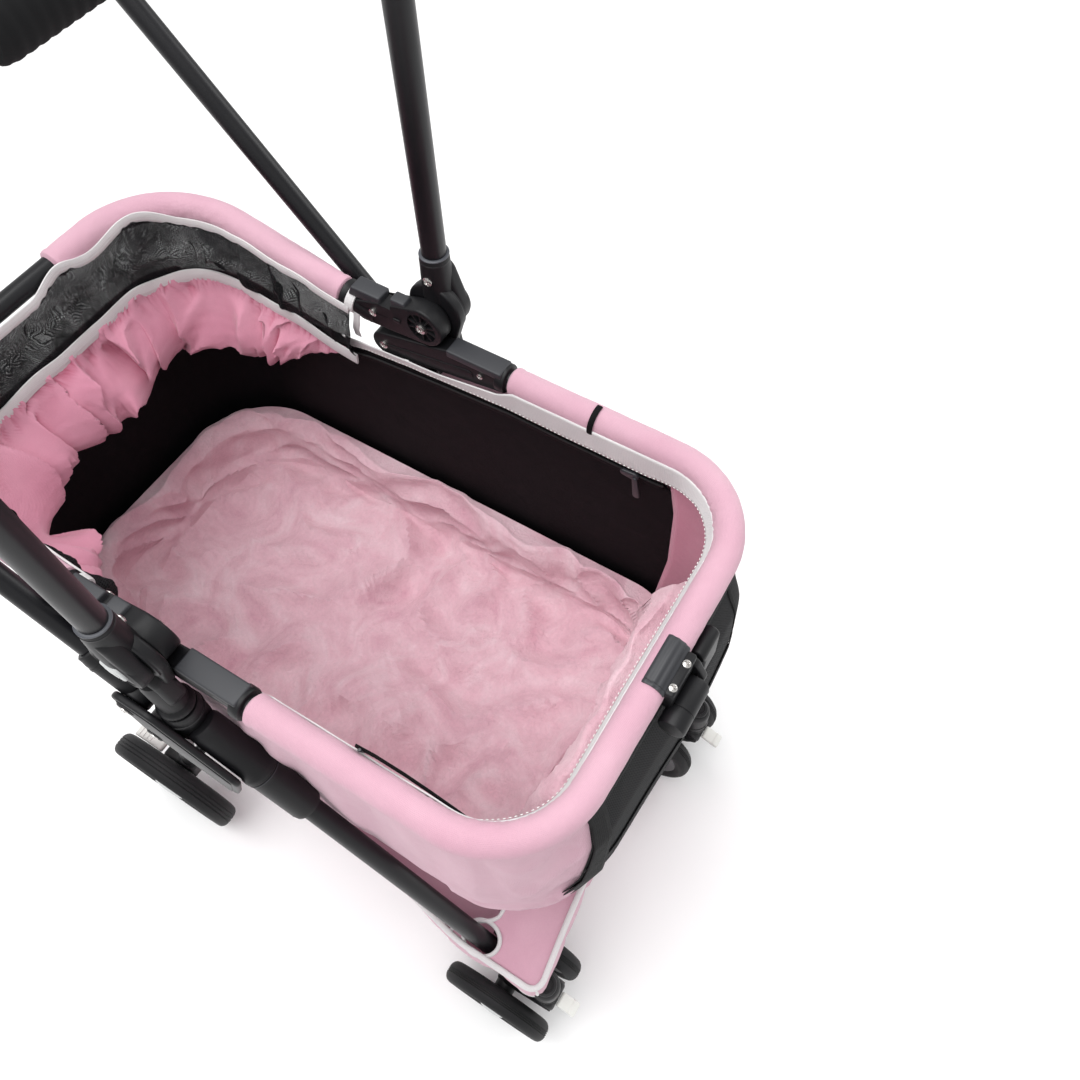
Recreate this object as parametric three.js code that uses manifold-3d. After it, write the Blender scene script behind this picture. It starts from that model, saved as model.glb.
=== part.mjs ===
// Pet stroller: a folding chassis on two twin-wheel front casters and two rear wheels, a
// lift-off carrier basket with a carry bail, and a low storage basket. Millimetres, +Z up,
// front of the stroller towards -Y, the pusher's right towards -X. The floor is Z = 0 and the
// origin is under the middle of the bounding box.
import * as THREE from 'three';
import { mergeVertices } from 'three/addons/utils/BufferGeometryUtils.js';
import Module from 'manifold-3d';

const wasm = await Module();
wasm.setup();

// ---- driving dimensions -------------------------------------------------------------------
const GAP = 0.3;                // clearance between faces that touch on the real object
const FRAME_SHIFT_Y = 8.75;     // moves the hub-based layout to the middle of the bounding box
const RIM_Z = 715;             // height of the carrier rim's centre line
const RIM_HALF = 180;          // half width of the rim's centre line
const RIM_FRONT = 346;         // rim's reach in front of the hub line
const RIM_FRONT_RADIUS = 79;
const RIM_TUBE_R = 9.5;
const SLEEVE_R = 13.5;         // padded fabric sleeve round the rim tubes
const SLEEVE_BORE = 10.6;
const HOOP_ROOT = { y: 5, z: RIM_Z + 3 };     // where the rear hoop's plane starts
const HOOP_AXIS = { y: -13, z: RIM_Z + 28 };  // bolt the rear arms turn on
const HOOP_REACH = 298;        // rear hoop's length behind its pivot
const HOOP_RADIUS = 96;
const HOOP_TILT = THREE.MathUtils.degToRad(12);
const HOOP_BARE_HALF = 38;     // bare stretch of tube at the back of the rear hoop
const ARM_FRONT_END = -102;    // where the front arms meet the front sleeve
const ARM_REAR_LENGTH = 78;
const CLAMP_PLATE = [46, 5.4, 34];  // lock plate on the front of the rim
const CLAMP_LOCK = { x: [-22, 16], y: -372, z: RIM_Z - 22, r: 9 };  // round lock below it
const ARM_X = [170, 188.6];    // arm castings, inner and outer face
const HOOP_DISC_R = 21;        // round end of each rear arm

const SIDE_X = 201;            // plane of the hub, dock and leg top
const HUB_PIVOT = { y: -15, z: RIM_Z + 35 };
const HUB_PLATE_X = [189, 199];
const BAIL_DISC_X = [199.4, 214];
const BAIL_X = 201;
const BAIL_LEAN = 0.02;         // forward lean of the bail per unit of height
const BAIL_R = 12;
const BAIL_TOP = RIM_Z + 432;
const BAIL_CORNER = 105;
const BAIL_GRIP = { half: 70, r: 17 };
const BAIL_RING = { height: 5, r: 17.5 };
const BUTTON = { ry: 12.6, rz: 9.6, x: [211.5, 216.5], pocket: 0.4, pocketX: 208 };
const BAIL_SOCKET_Z = [RIM_Z + 66.5, RIM_Z + 92];

const NECK_Y = -17;
const NECK_R = 12;
const DOCK_TOP = RIM_Z - 62;
const DOCK_BOTTOM = RIM_Z - 108;
const DOCK_R = 17;

const LEG_TOP = new THREE.Vector3(SIDE_X, -34, RIM_Z - 94);
const LEG_FOOT = new THREE.Vector3(193, -338, RIM_Z - 552);
const LEG_R = 10.5;
const LEG_SLEEVE_LENGTH = 132;
const LEG_COLLAR = [62, 68];     // raised ring on the leg sleeve, along the leg
const LEG_INSET = 18;           // how far the leg tube starts below the leg's top point
const LEG_BAR_AT = 452;         // cross bar's place along the legs
const BAR_R = 8;                // front and rear cross bars

const CASTER = new THREE.Vector3(193, -350, 0);
const CASTER_SOCKET_Z = [141, 187];
const CASTER_TRAIL = 50;
const CASTER_SOCKET_R = 17;
const CASTER_FORK_HALF = 18;
const FRONT_WHEEL_R = 72;
const FRONT_WHEEL_WIDTH = 27;
const AXLE_R = 5;
const FRONT_WHEEL_SPACING = 40; // from the caster's middle to each wheel's middle

const REAR_WHEEL_R = 94;
const REAR_WHEEL_WIDTH = 32;
const REAR_WHEEL_X = 234;
const REAR_AXLE = { y: 228, z: REAR_WHEEL_R };
const REAR_LEG_X = 203;
const REAR_LEG_R = 10;
const REAR_LEG_PIVOT = { y: 25, z: RIM_Z - 140 };
const REAR_MOUNT_X = [190, 217];
const REAR_LEG_ENDS = [22, 20];  // tube's start under the pivot and stop above the axle
const BRAKE_PIVOT = { y: REAR_AXLE.y + 34, z: REAR_AXLE.z + 30 };
const BRAKE_LENGTH = 38;
const BRAKE_X = [191, 216];

const HANDLE_X = 205;
const HANDLE_R = 9.5;
const HANDLE_PIVOT = { y: 22, z: RIM_Z - 70 };
const HANDLE_FOOT = { y: 34, z: RIM_Z - 50 };
const HANDLE_TOP = { y: 359, z: RIM_Z + 335 };
const HANDLE_CORNER = 62;
const HANDLE_GRIP_R = 15.5;
const JOINT_PLATE_X = [218.5, 225];

const BASKET_WALL = 4;
const BASKET_DEPTH = 318;      // rim centre line to the underside of the cabin
const PAD_THICKNESS = 26;
const PAD_TOP = 512;           // top of the pad's raised border
const PAD_FRONT_RISE = 148;    // how much higher the border climbs up the front wall
const PAD_RISE_Y = [-268, -318]; // where that climb starts and ends
const STORAGE_Z = [167, 268];  // underside and top edge of the storage basket
const STORAGE_WALL = 3.5;
const STORAGE_HALF = [213, 187];  // half widths at the front and at the back
const STORAGE_Y = [-356, -250, -110, 150]; // front, where it narrows from and to, back
const FLOOR_BOARD = { half: 130, front: -288, rear: 240, frontRadius: 76, rearRadius: 92, z: 0 };
const BOARD_THICKNESS = 4;
const COVER_INSET = 38;        // gathered cover's centre line, inside the rear hoop's
const COVER_DROP = 88;         // and below it
const COVER_HALF_WIDTH = 22;
const COVER_HALF_HEIGHT = 32;

// ---- materials ----------------------------------------------------------------------------
function finish(color, roughness, metalness = 0) {
  return new THREE.MeshStandardMaterial({ color, roughness, metalness });
}
const satinTube = finish(0x1b1c1f, 0.35, 0.6);
const blackPlastic = finish(0x1d1e20, 0.5);
const softGrip = finish(0x161617, 0.85);
const pinkFabric = finish(0xecb9c6, 0.9);
const plush = finish(0xe6bcc8, 1.0);
const blackMesh = finish(0x17181a, 0.9);
const tyreRubber = finish(0x1a1a1b, 0.8);
const palePlastic = finish(0xcfcfca, 0.45);

// ---- solids -------------------------------------------------------------------------------
function toSolid(geometry) {
  const bare = geometry.clone();
  bare.deleteAttribute('normal');
  bare.deleteAttribute('uv');
  const merged = mergeVertices(bare, 1e-4);
  return new wasm.Manifold(new wasm.Mesh({
    numProp: 3,
    vertProperties: new Float32Array(merged.attributes.position.array),
    triVerts: new Uint32Array(merged.index.array),
  }));
}

function toGeometry(solid) {
  const mesh = solid.getMesh();
  const geometry = new THREE.BufferGeometry();
  geometry.setAttribute('position', new THREE.BufferAttribute(mesh.vertProperties, 3));
  geometry.setIndex(new THREE.BufferAttribute(mesh.triVerts, 1));
  return geometry;
}

function join(...geometries) {
  return toGeometry(geometries.map(toSolid).reduce((a, b) => a.add(b)));
}

function cut(base, ...tools) {
  return toGeometry(tools.map(toSolid).reduce((a, b) => a.subtract(b), toSolid(base)));
}

// Round bar between two points.
function rod(from, to, radius, segments = 14) {
  const axis = new THREE.Vector3().subVectors(to, from);
  const geometry = new THREE.CylinderGeometry(radius, radius, axis.length(), segments);
  const turn = new THREE.Quaternion().setFromUnitVectors(
    new THREE.Vector3(0, 1, 0), axis.clone().normalize());
  geometry.applyQuaternion(turn);
  const middle = new THREE.Vector3().addVectors(from, to).multiplyScalar(0.5);
  return geometry.translate(middle.x, middle.y, middle.z);
}

function rodX(x0, x1, at, radius, segments = 16) {
  return rod(new THREE.Vector3(x0, at.y, at.z), new THREE.Vector3(x1, at.y, at.z), radius, segments);
}

function rodZ(x, y, z0, z1, radius, segments = 16) {
  return rod(new THREE.Vector3(x, y, z0), new THREE.Vector3(x, y, z1), radius, segments);
}

// Extrudes an outline drawn in (y, z) between two X planes.
function plateX(shape, xa, xb, bevel = 0) {
  const low = Math.min(xa, xb);
  const depth = Math.abs(xb - xa);
  const geometry = new THREE.ExtrudeGeometry(shape, {
    depth: depth - 2 * bevel,
    bevelEnabled: bevel > 0,
    bevelThickness: bevel,
    bevelSize: bevel,
    bevelOffset: -bevel,
    bevelSegments: 1,
    curveSegments: 7,
  });
  geometry.translate(0, 0, bevel);
  const basis = new THREE.Matrix4().makeBasis(
    new THREE.Vector3(0, 1, 0), new THREE.Vector3(0, 0, 1), new THREE.Vector3(1, 0, 0));
  return geometry.applyMatrix4(basis).translate(low, 0, 0);
}

// Convex outline round a list of circles { y, z, r }.
function beltShape(circles, steps = 14) {
  const points = [];
  for (const circle of circles) {
    for (let i = 0; i < steps; i += 1) {
      const angle = (2 * Math.PI * i) / steps;
      points.push([circle.y + circle.r * Math.cos(angle), circle.z + circle.r * Math.sin(angle)]);
    }
  }
  points.sort((a, b) => a[0] - b[0] || a[1] - b[1]);
  const turn = (o, a, b) => (a[0] - o[0]) * (b[1] - o[1]) - (a[1] - o[1]) * (b[0] - o[0]);
  const half = (list) => {
    const chain = [];
    for (const p of list) {
      while (chain.length > 1 && turn(chain[chain.length - 2], chain[chain.length - 1], p) <= 1e-6) {
        chain.pop();
      }
      chain.push(p);
    }
    return chain.slice(0, -1);
  };
  const outline = [...half(points), ...half([...points].reverse())];
  return new THREE.Shape(outline.map((p) => new THREE.Vector2(p[0], p[1])));
}

function roundSection(radius, sides, hole = 0, holeSides = 8) {
  const shape = new THREE.Shape();
  for (let i = 0; i < sides; i += 1) {
    const a = (2 * Math.PI * i) / sides;
    const x = radius * Math.cos(a);
    const y = radius * Math.sin(a);
    if (i === 0) shape.moveTo(x, y);
    else shape.lineTo(x, y);
  }
  shape.closePath();
  if (hole > 0) {
    const path = new THREE.Path();
    for (let i = 0; i < holeSides; i += 1) {
      const a = (-2 * Math.PI * i) / holeSides;
      const x = hole * Math.cos(a);
      const y = hole * Math.sin(a);
      if (i === 0) path.moveTo(x, y);
      else path.lineTo(x, y);
    }
    path.closePath();
    shape.holes.push(path);
  }
  return shape;
}

// A smooth curve whose stations are the given points themselves, not equal arc lengths.
class StationCurve extends THREE.CatmullRomCurve3 {
  constructor(points) {
    super(points, false, 'centripetal');
  }

  getPointAt(u, target) {
    return this.getPoint(u, target);
  }

  getTangentAt(u, target) {
    return this.getTangent(u, target);
  }
}

function tubeAlong(points, radius, sides = 12, hole = 0) {
  return new THREE.ExtrudeGeometry(roundSection(radius, sides, hole), {
    steps: points.length - 1,
    extrudePath: new StationCurve(points),
    bevelEnabled: false,
  });
}

// Points of a U: up one leg, round two corners, down the other, in a plane given by a function.
function uPoints(half, reach, radius, place, start, cornerSteps = 6, legSteps = 3) {
  const points = [];
  for (let i = 0; i < legSteps; i += 1) {
    const along = start + ((reach - radius - start) * i) / legSteps;
    points.push(place(-half, along));
  }
  for (let i = 0; i <= cornerSteps; i += 1) {
    const a = (Math.PI / 2) * (i / cornerSteps);
    points.push(place(-half + radius - radius * Math.cos(a), reach - radius + radius * Math.sin(a)));
  }
  points.push(place(0, reach));
  const mirrored = points.slice(0, -1).reverse().map((p) => p.clone().setX(-p.x));
  return [...points, ...mirrored];
}

function frontRimPoint(x, along) {
  return new THREE.Vector3(x, -along, RIM_Z);
}

function hoopPoint(x, along, lift = 0) {
  const y = HOOP_ROOT.y + along * Math.cos(HOOP_TILT) - lift * Math.sin(HOOP_TILT);
  const z = HOOP_ROOT.z + along * Math.sin(HOOP_TILT) + lift * Math.cos(HOOP_TILT);
  return new THREE.Vector3(x, y, z);
}

// ---- baskets ------------------------------------------------------------------------------
// A ring of points round a rounded rectangle with separate front and rear corner radii.
function outlineRing(spec, cornerSteps = 5) {
  const { half, front, rear, frontRadius, rearRadius, z } = spec;
  const ring = [];
  const corner = (cx, cy, r, a0) => {
    for (let i = 0; i <= cornerSteps; i += 1) {
      const a = a0 + ((Math.PI / 2) * i) / cornerSteps;
      ring.push([cx + r * Math.cos(a), cy + r * Math.sin(a)]);
    }
  };
  const side = (x, ya, yb, steps) => {
    for (let i = 1; i < steps; i += 1) ring.push([x, ya + ((yb - ya) * i) / steps]);
  };
  const end = (y, xa, xb, steps) => {
    for (let i = 1; i < steps; i += 1) ring.push([xa + ((xb - xa) * i) / steps, y]);
  };
  corner(half - rearRadius, rear - rearRadius, rearRadius, 0);
  end(rear, half - rearRadius, -half + rearRadius, 3);
  corner(-half + rearRadius, rear - rearRadius, rearRadius, Math.PI / 2);
  side(-half, rear - rearRadius, front + frontRadius, 9);
  corner(-half + frontRadius, front + frontRadius, frontRadius, Math.PI);
  end(front, -half + frontRadius, half - frontRadius, 3);
  corner(half - frontRadius, front + frontRadius, frontRadius, 1.5 * Math.PI);
  side(half, front + frontRadius, rear - rearRadius, 9);
  return ring.map(([x, y]) => new THREE.Vector3(x, y, typeof z === 'function' ? z(y, x) : z));
}

// Closes a stack of rings into one vessel, from the inner floor up, over the edge and down.
function vessel(rings) {
  const positions = [];
  const index = [];
  const count = rings[0].length;
  for (const ring of rings) for (const p of ring) positions.push(p.x, p.y, p.z);
  for (let r = 0; r + 1 < rings.length; r += 1) {
    for (let i = 0; i < count; i += 1) {
      const j = (i + 1) % count;
      const a = r * count + i;
      const b = r * count + j;
      const c = (r + 1) * count + i;
      const d = (r + 1) * count + j;
      index.push(a, c, b, b, c, d);
    }
  }
  const cap = (ring, base, flip) => {
    const centre = ring.reduce((sum, p) => sum.add(p), new THREE.Vector3()).divideScalar(count);
    const hub = positions.length / 3;
    positions.push(centre.x, centre.y, centre.z);
    for (let i = 0; i < count; i += 1) {
      const j = (i + 1) % count;
      if (flip) index.push(hub, base + j, base + i);
      else index.push(hub, base + i, base + j);
    }
  };
  cap(rings[0], 0, false);
  cap(rings[rings.length - 1], (rings.length - 1) * count, true);
  const geometry = new THREE.BufferGeometry();
  geometry.setAttribute('position', new THREE.Float32BufferAttribute(positions, 3));
  geometry.setIndex(index);
  return geometry;
}

// Top edge of the cabin wall: under the rim, dipped beneath the front arms, up with the hoop.
function cabinEdge(y) {
  const rise = Math.max(0, y - HOOP_ROOT.y) * Math.tan(HOOP_TILT);
  return RIM_Z - SLEEVE_R - 6 + rise;
}

const ARM_DIP = { from: -20, to: 60, z: RIM_Z - 40 };

function cabinWallTop(y, x) {
  const underArm = Math.abs(x) > 170 && y > ARM_DIP.from && y < ARM_DIP.to;
  return underArm ? ARM_DIP.z : cabinEdge(y);
}

// Cabin wall stations from the edge down: depth under the rim, half width, front and rear reach.
const CABIN_STATIONS = [
  { depth: 0, half: 181, front: 348, rear: 296 },
  { depth: 70, half: 178, front: 363, rear: 299 },
  { depth: 150, half: 176, front: 366, rear: 298 },
  { depth: 230, half: 176, front: 358, rear: 292 },
  { depth: 285, half: 172, front: 348, rear: 284 },
  { depth: 308, half: 163, front: 336, rear: 274 },
  { depth: BASKET_DEPTH, half: 148, front: 320, rear: 258 },
];

function cabinRing(station, inset) {
  const edge = station.depth === 0;
  return outlineRing({
    half: station.half - inset,
    front: -station.front + inset,
    rear: station.rear - inset,
    frontRadius: RIM_FRONT_RADIUS - inset,
    rearRadius: HOOP_RADIUS - inset,
    z: edge ? cabinWallTop : RIM_Z - station.depth + (station.depth === BASKET_DEPTH ? inset : 0),
  });
}

function cabinShell() {
  const inner = CABIN_STATIONS.map((s) => cabinRing(s, BASKET_WALL)).reverse();
  const outer = CABIN_STATIONS.map((s) => cabinRing(s, 0));
  return vessel([...inner, ...outer]);
}

// Mesh window in the cabin's front wall: half widths at its lower and upper edges, and heights.
const FRONT_WINDOW = { halves: [146, 112], heights: [RIM_Z - 262, RIM_Z - 34], through: 160 };

// The window as a wedge-sided block that reaches through the wall, shrunk by a margin.
function frontWindow(margin) {
  const [wide, narrow] = FRONT_WINDOW.halves.map((half) => half - margin);
  const low = FRONT_WINDOW.heights[0] + margin;
  const high = FRONT_WINDOW.heights[1] - margin;
  const outline = new THREE.Shape([
    new THREE.Vector2(-wide, low),
    new THREE.Vector2(wide, low),
    new THREE.Vector2(narrow, high),
    new THREE.Vector2(-narrow, high),
  ]);
  const block = new THREE.ExtrudeGeometry(outline, { depth: FRONT_WINDOW.through, bevelEnabled: false });
  return block.rotateX(Math.PI / 2).translate(0, -RIM_FRONT + FRONT_WINDOW.through / 2, 0);
}

function plateOf(ring, z0, z1) {
  const low = ring.map((p) => new THREE.Vector3(p.x, p.y, z0));
  const high = ring.map((p) => new THREE.Vector3(p.x, p.y, z1));
  return vessel([high, low]);
}

// ---- scene graph --------------------------------------------------------------------------
const stroller = new THREE.Group();
const layout = new THREE.Group();
layout.position.set(0, FRAME_SHIFT_Y, 0);
stroller.add(layout);

function addPart(name, geometry, material) {
  const mesh = new THREE.Mesh(geometry, material);
  mesh.name = name;
  layout.add(mesh);
  return mesh;
}

const SIDES = [['right', -1], ['left', 1]];

function onSide(s, point) {
  return point.clone().setX(s * point.x);
}

function legPoint(s, distance) {
  const direction = new THREE.Vector3().subVectors(LEG_FOOT, LEG_TOP).normalize();
  return onSide(s, LEG_TOP.clone().addScaledVector(direction, distance));
}

function addFrontFrame(side, s) {
  const foot = onSide(s, LEG_FOOT);
  addPart(`front_leg_${side}`, rod(legPoint(s, LEG_INSET), foot, LEG_R), satinTube);

  const cup = rodZ(s * SIDE_X, NECK_Y, DOCK_BOTTOM, DOCK_TOP, DOCK_R);
  const barrel = rod(legPoint(s, -6), legPoint(s, LEG_SLEEVE_LENGTH), DOCK_R - 1);
  const collar = rod(legPoint(s, LEG_COLLAR[0]), legPoint(s, LEG_COLLAR[1]), DOCK_R + 0.8);
  const bore = rodZ(s * SIDE_X, NECK_Y, DOCK_TOP - 40, DOCK_TOP + 5, NECK_R + GAP);
  const legBore = rod(legPoint(s, LEG_INSET - GAP), legPoint(s, LEG_SLEEVE_LENGTH + 5), LEG_R + GAP);
  addPart(`leg_dock_${side}`, cut(join(cup, barrel, collar), bore, legBore), blackPlastic);

  const plate = plateX(beltShape([
    { y: -4, z: RIM_Z - 66, r: 13 },
    { ...HANDLE_PIVOT, r: 16 },
    { ...REAR_LEG_PIVOT, r: 17 },
    { y: -58, z: RIM_Z - 132, r: 14 },
    { y: -34, z: RIM_Z - 200, r: 12 },
  ]), s * JOINT_PLATE_X[0], s * JOINT_PLATE_X[1], 1.5);
  addPart(`fold_joint_plate_${side}`, plate, blackPlastic);

  const socket = rodZ(s * CASTER.x, CASTER.y, ...CASTER_SOCKET_Z, CASTER_SOCKET_R);
  const cap = rodZ(s * CASTER.x, CASTER.y, CASTER_SOCKET_Z[1] - 1, CASTER_SOCKET_Z[1] + 4, 12.5);
  const legSocket = rod(foot, legPoint(s, 505), DOCK_R - 2.5);
  const footBore = rod(foot.clone().addScaledVector(legPoint(s, 1).sub(legPoint(s, 0)), GAP),
    legPoint(s, 480), LEG_R + GAP);
  addPart(`caster_socket_${side}`, cut(join(socket, cap, legSocket), footBore), blackPlastic);
}

function ellipseShape(y, z, ry, rz) {
  const shape = new THREE.Shape();
  shape.absellipse(y, z, ry, rz, 0, 2 * Math.PI);
  return shape;
}

function wheelProfile(radius, width, boreRadius) {
  const w = width / 2;
  return [
    [boreRadius, -w + 3],
    [radius - 17, -w + 3],
    [radius - 7, -w],
    [radius, -w + 8],
    [radius, w - 8],
    [radius - 7, w],
    [radius - 17, w - 3],
    [boreRadius, w - 3],
    [boreRadius, -w + 3],
  ].map(([r, a]) => new THREE.Vector2(r, a));
}

function wheel(radius, width, x, y, z, segments) {
  const profile = wheelProfile(radius, width, AXLE_R + GAP);
  const geometry = new THREE.LatheGeometry(profile, segments);
  const merged = toGeometry(toSolid(geometry));
  merged.rotateZ(-Math.PI / 2);
  return merged.translate(x, y, z);
}

function addCaster(side, s) {
  const axle = { y: CASTER.y + CASTER_TRAIL, z: FRONT_WHEEL_R };
  const half = FRONT_WHEEL_SPACING - FRONT_WHEEL_WIDTH / 2;
  const x = s * CASTER.x;
  const body = plateX(beltShape([
    { y: CASTER.y - 2, z: 122, r: 15 },
    { y: CASTER.y + 6, z: 108, r: 14 },
    { ...axle, r: 15 },
  ]), x - CASTER_FORK_HALF, x + CASTER_FORK_HALF, 2);
  const crown = rodZ(x, CASTER.y, 120, CASTER_SOCKET_Z[0] - 0.5, 16);
  const barrel = rodX(x - half + 0.4, x + half - 0.4, axle, 13, 24);
  const pin = rodX(x - FRONT_WHEEL_SPACING - 12, x + FRONT_WHEEL_SPACING + 12, axle, AXLE_R, 14);
  addPart(`caster_fork_${side}`, join(body, crown, barrel, pin), blackPlastic);

  for (const [place, k] of [['inner', -1], ['outer', 1]]) {
    const wx = x + s * k * FRONT_WHEEL_SPACING;
    const tyre = wheel(FRONT_WHEEL_R, FRONT_WHEEL_WIDTH, wx, axle.y, axle.z, 24);
    addPart(`front_wheel_${side}_${place}`, tyre, tyreRubber);
  }

  const lever = beltShape([
    { y: CASTER.y - 21, z: 122, r: 3.6 },
    { y: CASTER.y - 39, z: 115, r: 3 },
  ]);
  addPart(`swivel_lock_${side}`, plateX(lever, x - 9, x + 9, 1), palePlastic);
}

function rearLegPoint(s, distance) {
  const top = new THREE.Vector3(s * REAR_LEG_X, REAR_LEG_PIVOT.y, REAR_LEG_PIVOT.z);
  const foot = new THREE.Vector3(s * REAR_LEG_X, REAR_AXLE.y, REAR_AXLE.z);
  const direction = foot.clone().sub(top).normalize();
  return top.addScaledVector(direction, distance);
}

function addRearLeg(side, s) {
  const axlePoint = new THREE.Vector3(s * REAR_LEG_X, REAR_AXLE.y, REAR_AXLE.z);
  const length = rearLegPoint(s, 0).distanceTo(axlePoint);
  const [start, stop] = REAR_LEG_ENDS;
  const tube = rod(rearLegPoint(s, start), rearLegPoint(s, length - stop), REAR_LEG_R);
  addPart(`rear_leg_${side}`, tube, satinTube);

  const knuckle = plateX(beltShape([{ ...REAR_LEG_PIVOT, r: 15 }]), s * 193, s * 217.8, 2);
  const ferrule = rod(rearLegPoint(s, 4), rearLegPoint(s, 46), REAR_LEG_R + 3);
  const bore = rod(rearLegPoint(s, start - GAP), rearLegPoint(s, 60), REAR_LEG_R + GAP);
  addPart(`rear_leg_knuckle_${side}`, cut(join(knuckle, ferrule), bore), blackPlastic);

  const hub = plateX(beltShape([
    { ...REAR_AXLE, r: 19 },
    { y: REAR_AXLE.y - 18, z: REAR_AXLE.z + 42, r: 15 },
    { y: REAR_AXLE.y + 20, z: REAR_AXLE.z + 22, r: 8 },
  ]), s * REAR_MOUNT_X[0], s * REAR_MOUNT_X[1], 2);
  const footBore = rod(rearLegPoint(s, length - stop + GAP), rearLegPoint(s, length - 90), REAR_LEG_R + GAP);
  const axle = rodX(s * 212, s * (REAR_WHEEL_X + 15), REAR_AXLE, AXLE_R, 14);
  const barBore = rodX(s * 186, s * 205, REAR_AXLE, BAR_R + GAP, 20);
  addPart(`rear_wheel_mount_${side}`, cut(join(hub, axle), footBore, barBore), blackPlastic);

  const tyre = wheel(REAR_WHEEL_R, REAR_WHEEL_WIDTH, s * REAR_WHEEL_X, REAR_AXLE.y, REAR_AXLE.z, 28);
  addPart(`rear_wheel_${side}`, tyre, tyreRubber);

  const pedal = plateX(beltShape([
    { ...BRAKE_PIVOT, r: 5 },
    { y: BRAKE_PIVOT.y + BRAKE_LENGTH, z: BRAKE_PIVOT.z + 6, r: 4 },
  ]), s * BRAKE_X[0], s * BRAKE_X[1], 1.5);
  addPart(`brake_pedal_${side}`, pedal, palePlastic);
}

function addRearBar() {
  addPart('rear_axle_bar', rodX(-205 + GAP, 205 - GAP, REAR_AXLE, BAR_R, 20), satinTube);
}

function addFrontBar() {
  const at = legPoint(1, LEG_BAR_AT);
  const half = at.x - LEG_R - 1.5;
  const bar = rodX(-half, half, at, BAR_R, 20);
  addPart('front_cross_bar', bar, satinTube);
}

// A point on the handle's straight side tube, at a distance from its lower end.
function handlePoint(s, distance) {
  const foot = new THREE.Vector3(s * HANDLE_X, HANDLE_FOOT.y, HANDLE_FOOT.z);
  const rise = new THREE.Vector3(0, HANDLE_TOP.y - foot.y, HANDLE_TOP.z - foot.z).normalize();
  return foot.addScaledVector(rise, distance);
}

function addPushHandle() {
  const top = new THREE.Vector3(0, HANDLE_TOP.y, HANDLE_TOP.z);
  const straight = Math.hypot(HANDLE_TOP.y - HANDLE_FOOT.y, HANDLE_TOP.z - HANDLE_FOOT.z) - HANDLE_CORNER;
  const side = [0, 0.5, 0.9].map((part) => handlePoint(-1, part * straight));
  const cornerSteps = 5;
  for (let i = 0; i <= cornerSteps; i += 1) {
    const a = ((Math.PI / 2) * i) / cornerSteps;
    const p = handlePoint(-1, straight + HANDLE_CORNER * Math.sin(a));
    side.push(p.setX(-HANDLE_X + HANDLE_CORNER - HANDLE_CORNER * Math.cos(a)));
  }
  const other = side.map((p) => p.clone().setX(-p.x)).reverse();
  addPart('push_handle', tubeAlong([...side, top, ...other], HANDLE_R, 10), satinTube);

  const gripHalf = HANDLE_X - HANDLE_CORNER - 8;
  const core = rodX(-HANDLE_X, HANDLE_X, top, HANDLE_R + GAP);
  const foam = cut(rodX(-gripHalf, gripHalf, top, HANDLE_GRIP_R), core);
  addPart('push_handle_grip', foam, softGrip);
}

function addHandleKnuckle(side, s) {
  const disc = plateX(beltShape([{ ...HANDLE_PIVOT, r: 15 }]), s * 194, s * 217.8, 1.5);
  const ferrule = rod(handlePoint(s, -14), handlePoint(s, 34), HANDLE_R + 3);
  const hole = rod(handlePoint(s, -GAP), handlePoint(s, 50), HANDLE_R + GAP);
  addPart(`push_handle_knuckle_${side}`, cut(join(disc, ferrule), hole), blackPlastic);
}

function addCarrierHub(side, s) {
  const plate = plateX(beltShape([
    { ...HUB_PIVOT, r: 28 },
    { y: -6, z: RIM_Z - 2, r: 25 },
  ]), s * HUB_PLATE_X[0], s * HUB_PLATE_X[1], 1.5);
  const neck = rodZ(s * SIDE_X, NECK_Y, DOCK_TOP - 38, RIM_Z - 6, NECK_R);
  const collar = rodZ(s * SIDE_X, NECK_Y, DOCK_TOP + 1, DOCK_TOP + 9, DOCK_R - 1);
  addPart(`carrier_hub_${side}`, join(plate, neck, collar), blackPlastic);

  const armFront = plateX(beltShape([
    { y: 38, z: RIM_Z - 20, r: 14 },
    { y: -40, z: RIM_Z, r: 12.5 },
    { y: ARM_FRONT_END + 12, z: RIM_Z, r: 12.5 },
  ]), s * ARM_X[0], s * ARM_X[1], 1.5);
  const nose = rod(new THREE.Vector3(s * RIM_HALF, -60, RIM_Z),
    new THREE.Vector3(s * RIM_HALF, ARM_FRONT_END, RIM_Z), 12.5, 20);
  const clearance = rodX(s * 150, s * 200, HOOP_AXIS, HOOP_DISC_R + 1, 32);
  const bore = rod(new THREE.Vector3(s * RIM_HALF, -70, RIM_Z),
    new THREE.Vector3(s * RIM_HALF, ARM_FRONT_END - 20, RIM_Z), RIM_TUBE_R + GAP, 20);
  addPart(`front_arm_${side}`, cut(join(armFront, nose), clearance, bore), blackPlastic);

  const armEnd = hoopPoint(s * RIM_HALF, ARM_REAR_LENGTH);
  const disc = plateX(beltShape([
    { ...HOOP_AXIS, r: HOOP_DISC_R },
    { y: armEnd.y - 26, z: armEnd.z - 4, r: 12.5 },
  ]), s * ARM_X[0], s * ARM_X[1], 1.5);
  const armRear = rod(hoopPoint(s * RIM_HALF, 44), armEnd, 12.5, 20);
  const rearBore = rod(hoopPoint(s * RIM_HALF, 48), hoopPoint(s * RIM_HALF, 100), RIM_TUBE_R + GAP, 20);
  const trim = new THREE.BoxGeometry(8, 90, 60).translate(s * (ARM_X[1] + 4), 40, RIM_Z + 8);
  addPart(`rear_arm_${side}`, cut(join(disc, armRear), rearBore, trim), blackPlastic);
}

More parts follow.
